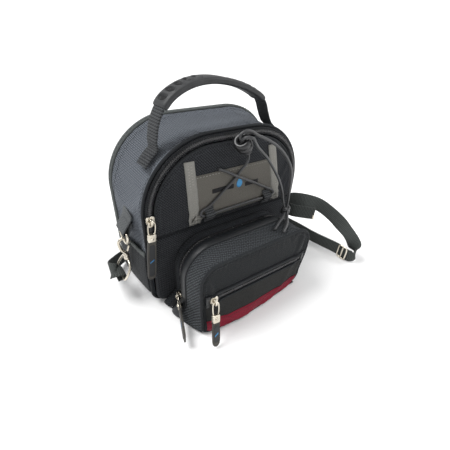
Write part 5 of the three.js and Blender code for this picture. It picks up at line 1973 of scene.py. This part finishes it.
def make_d_ring(side, name):
    x, drop, half = side * RING_X, RING_DROP, RING_HALF
    dee = points_mm(
        [
            [x, 1 - half, RING_Z], [x, 0, RING_Z], [x, half - 1, RING_Z], [x, half + 1, RING_Z - 3],
            [x, half - 3, RING_Z - 12], [x, 5, RING_Z - drop], [x, -5, RING_Z - drop],
            [x, 3 - half, RING_Z - 12], [x, -half - 1, RING_Z - 3],
        ]
    )
    path = spline(dee, 1.0 * MM, closed=True)
    ring = tube(f"d_ring_{name}_wire", path, 1.6 * MM, "metal", sides=14, closed=True)
    attach(ring, f"hook_{name}", "hardware_metal", f"d_ring_{name}")


def make_snap_hook(side, name):
    """The hook's bow, its turned swivel and the eye that holds the strap."""
    x = side * (RING_X + 1.5)
    turns = [math.radians(a) for a in range(-35, 191, 25)]
    bow = [[x - side * 6.2 * math.cos(a), 0, HOOK_Z + 6.2 * math.sin(a)] for a in turns]
    shank = spline(points_mm([*bow, [x + side * 4.5, 0, HOOK_Z - 10], [x, 0, BARREL_Z - 1]]), 0.8 * MM)
    shares = np.linspace(0, 1, len(shank))
    taper = np.interp(shares, [0, 0.1, 0.5, 0.85, 1], [0.75, 0.95, 1.05, 1.1, 1.3])
    hook = tube("hook", shank, 1.8 * MM, "metal", sides=14, taper=taper)
    turned = [
        (0.05, 0.6), (2.2, 0.4), (3.0, -0.6), (3.6, -1.6), (3.6, -3.2), (2.9, -3.8), (2.9, -4.6),
        (3.6, -5.2),
        (3.7, -7.4), (3.0, -8.8), (0.05, -9.2),
    ]
    swivel = lathe("swivel", turned, "metal", mm(x, 0, BARREL_Z), (0, 0, 1), 24)
    bar = side * EYE_BAR_X
    eye = points_mm(
        [
            [x, -9, BARREL_Z - 9], [x, 9, BARREL_Z - 9], [x + side * 2, 14, BARREL_Z - 14],
            [bar, 14.6, EYE_BAR_Z], [bar, 0, EYE_BAR_Z], [bar, -14.6, EYE_BAR_Z],
            [x + side * 2, -14, BARREL_Z - 14],
        ]
    )
    loop = tube("eye", spline(eye, 1.0 * MM, closed=True), 1.5 * MM, "metal", sides=12, closed=True)
    whole = join(f"snap_hook_{name}_cast", [hook, swivel, loop])
    attach(whole, f"hook_{name}", "hardware_metal", f"snap_hook_{name}")
    ends = points_mm([[x - side * 5.4, 0, HOOK_Z - 6.6], [x - side * 2.2, 0, BARREL_Z + 2.6]])
    gate = tube(f"hook_gate_{name}_pin", resample(ends, 10), 1.25 * MM, "metal", sides=12)
    attach(gate, f"gate_{name}", "hardware_metal", f"hook_gate_{name}")


def paint_unit():
    """The concentrator and the two floors keep their CAD shapes."""
    looks = {
        "base_panel": "lining", "pocket_floor": "lining",
        "unit_case_rear": "case", "unit_case_front": "case", "battery_pack": "dark_plastic",
        "compressor": "aluminium",
        "sieve_bed_left": "aluminium", "sieve_bed_right": "aluminium", "valve_manifold": "dark_plastic",
        "control_board": "board", "intake_filter": "foam", "outlet_barb": "metal",
        "cooling_fan": "dark_plastic",
        "power_button": "dark_plastic", "flow_button": "dark_plastic",
    }
    for node, look in looks.items():
        materials = frame["nodes"][node].data.materials
        materials.clear()
        materials.append(LOOKS[look])


make_camera()
make_stage()
make_tails()
make_gusset()
make_rims()
make_back()
make_lower_panel()
flap, flap_surface = make_flap()
make_main_zip()
make_fold()
make_label(flap_surface)
make_lace(
    Surface(flap, *[bpy.data.objects[n] for n in ("label_field", "label_strip_left", "label_strip_right")])
)
make_cord_lock()
make_pocket()
make_zips()
make_handle()
make_strap()
make_buckle()
for side, name in SIDES:
    make_ring_tab(side, name)
make_compression_tab()
for side, name in SIDES:
    make_side_pocket(side, name)
for side, name in SIDES:
    make_d_ring(side, name)
    make_snap_hook(side, name)
paint_unit()
make_stitches()
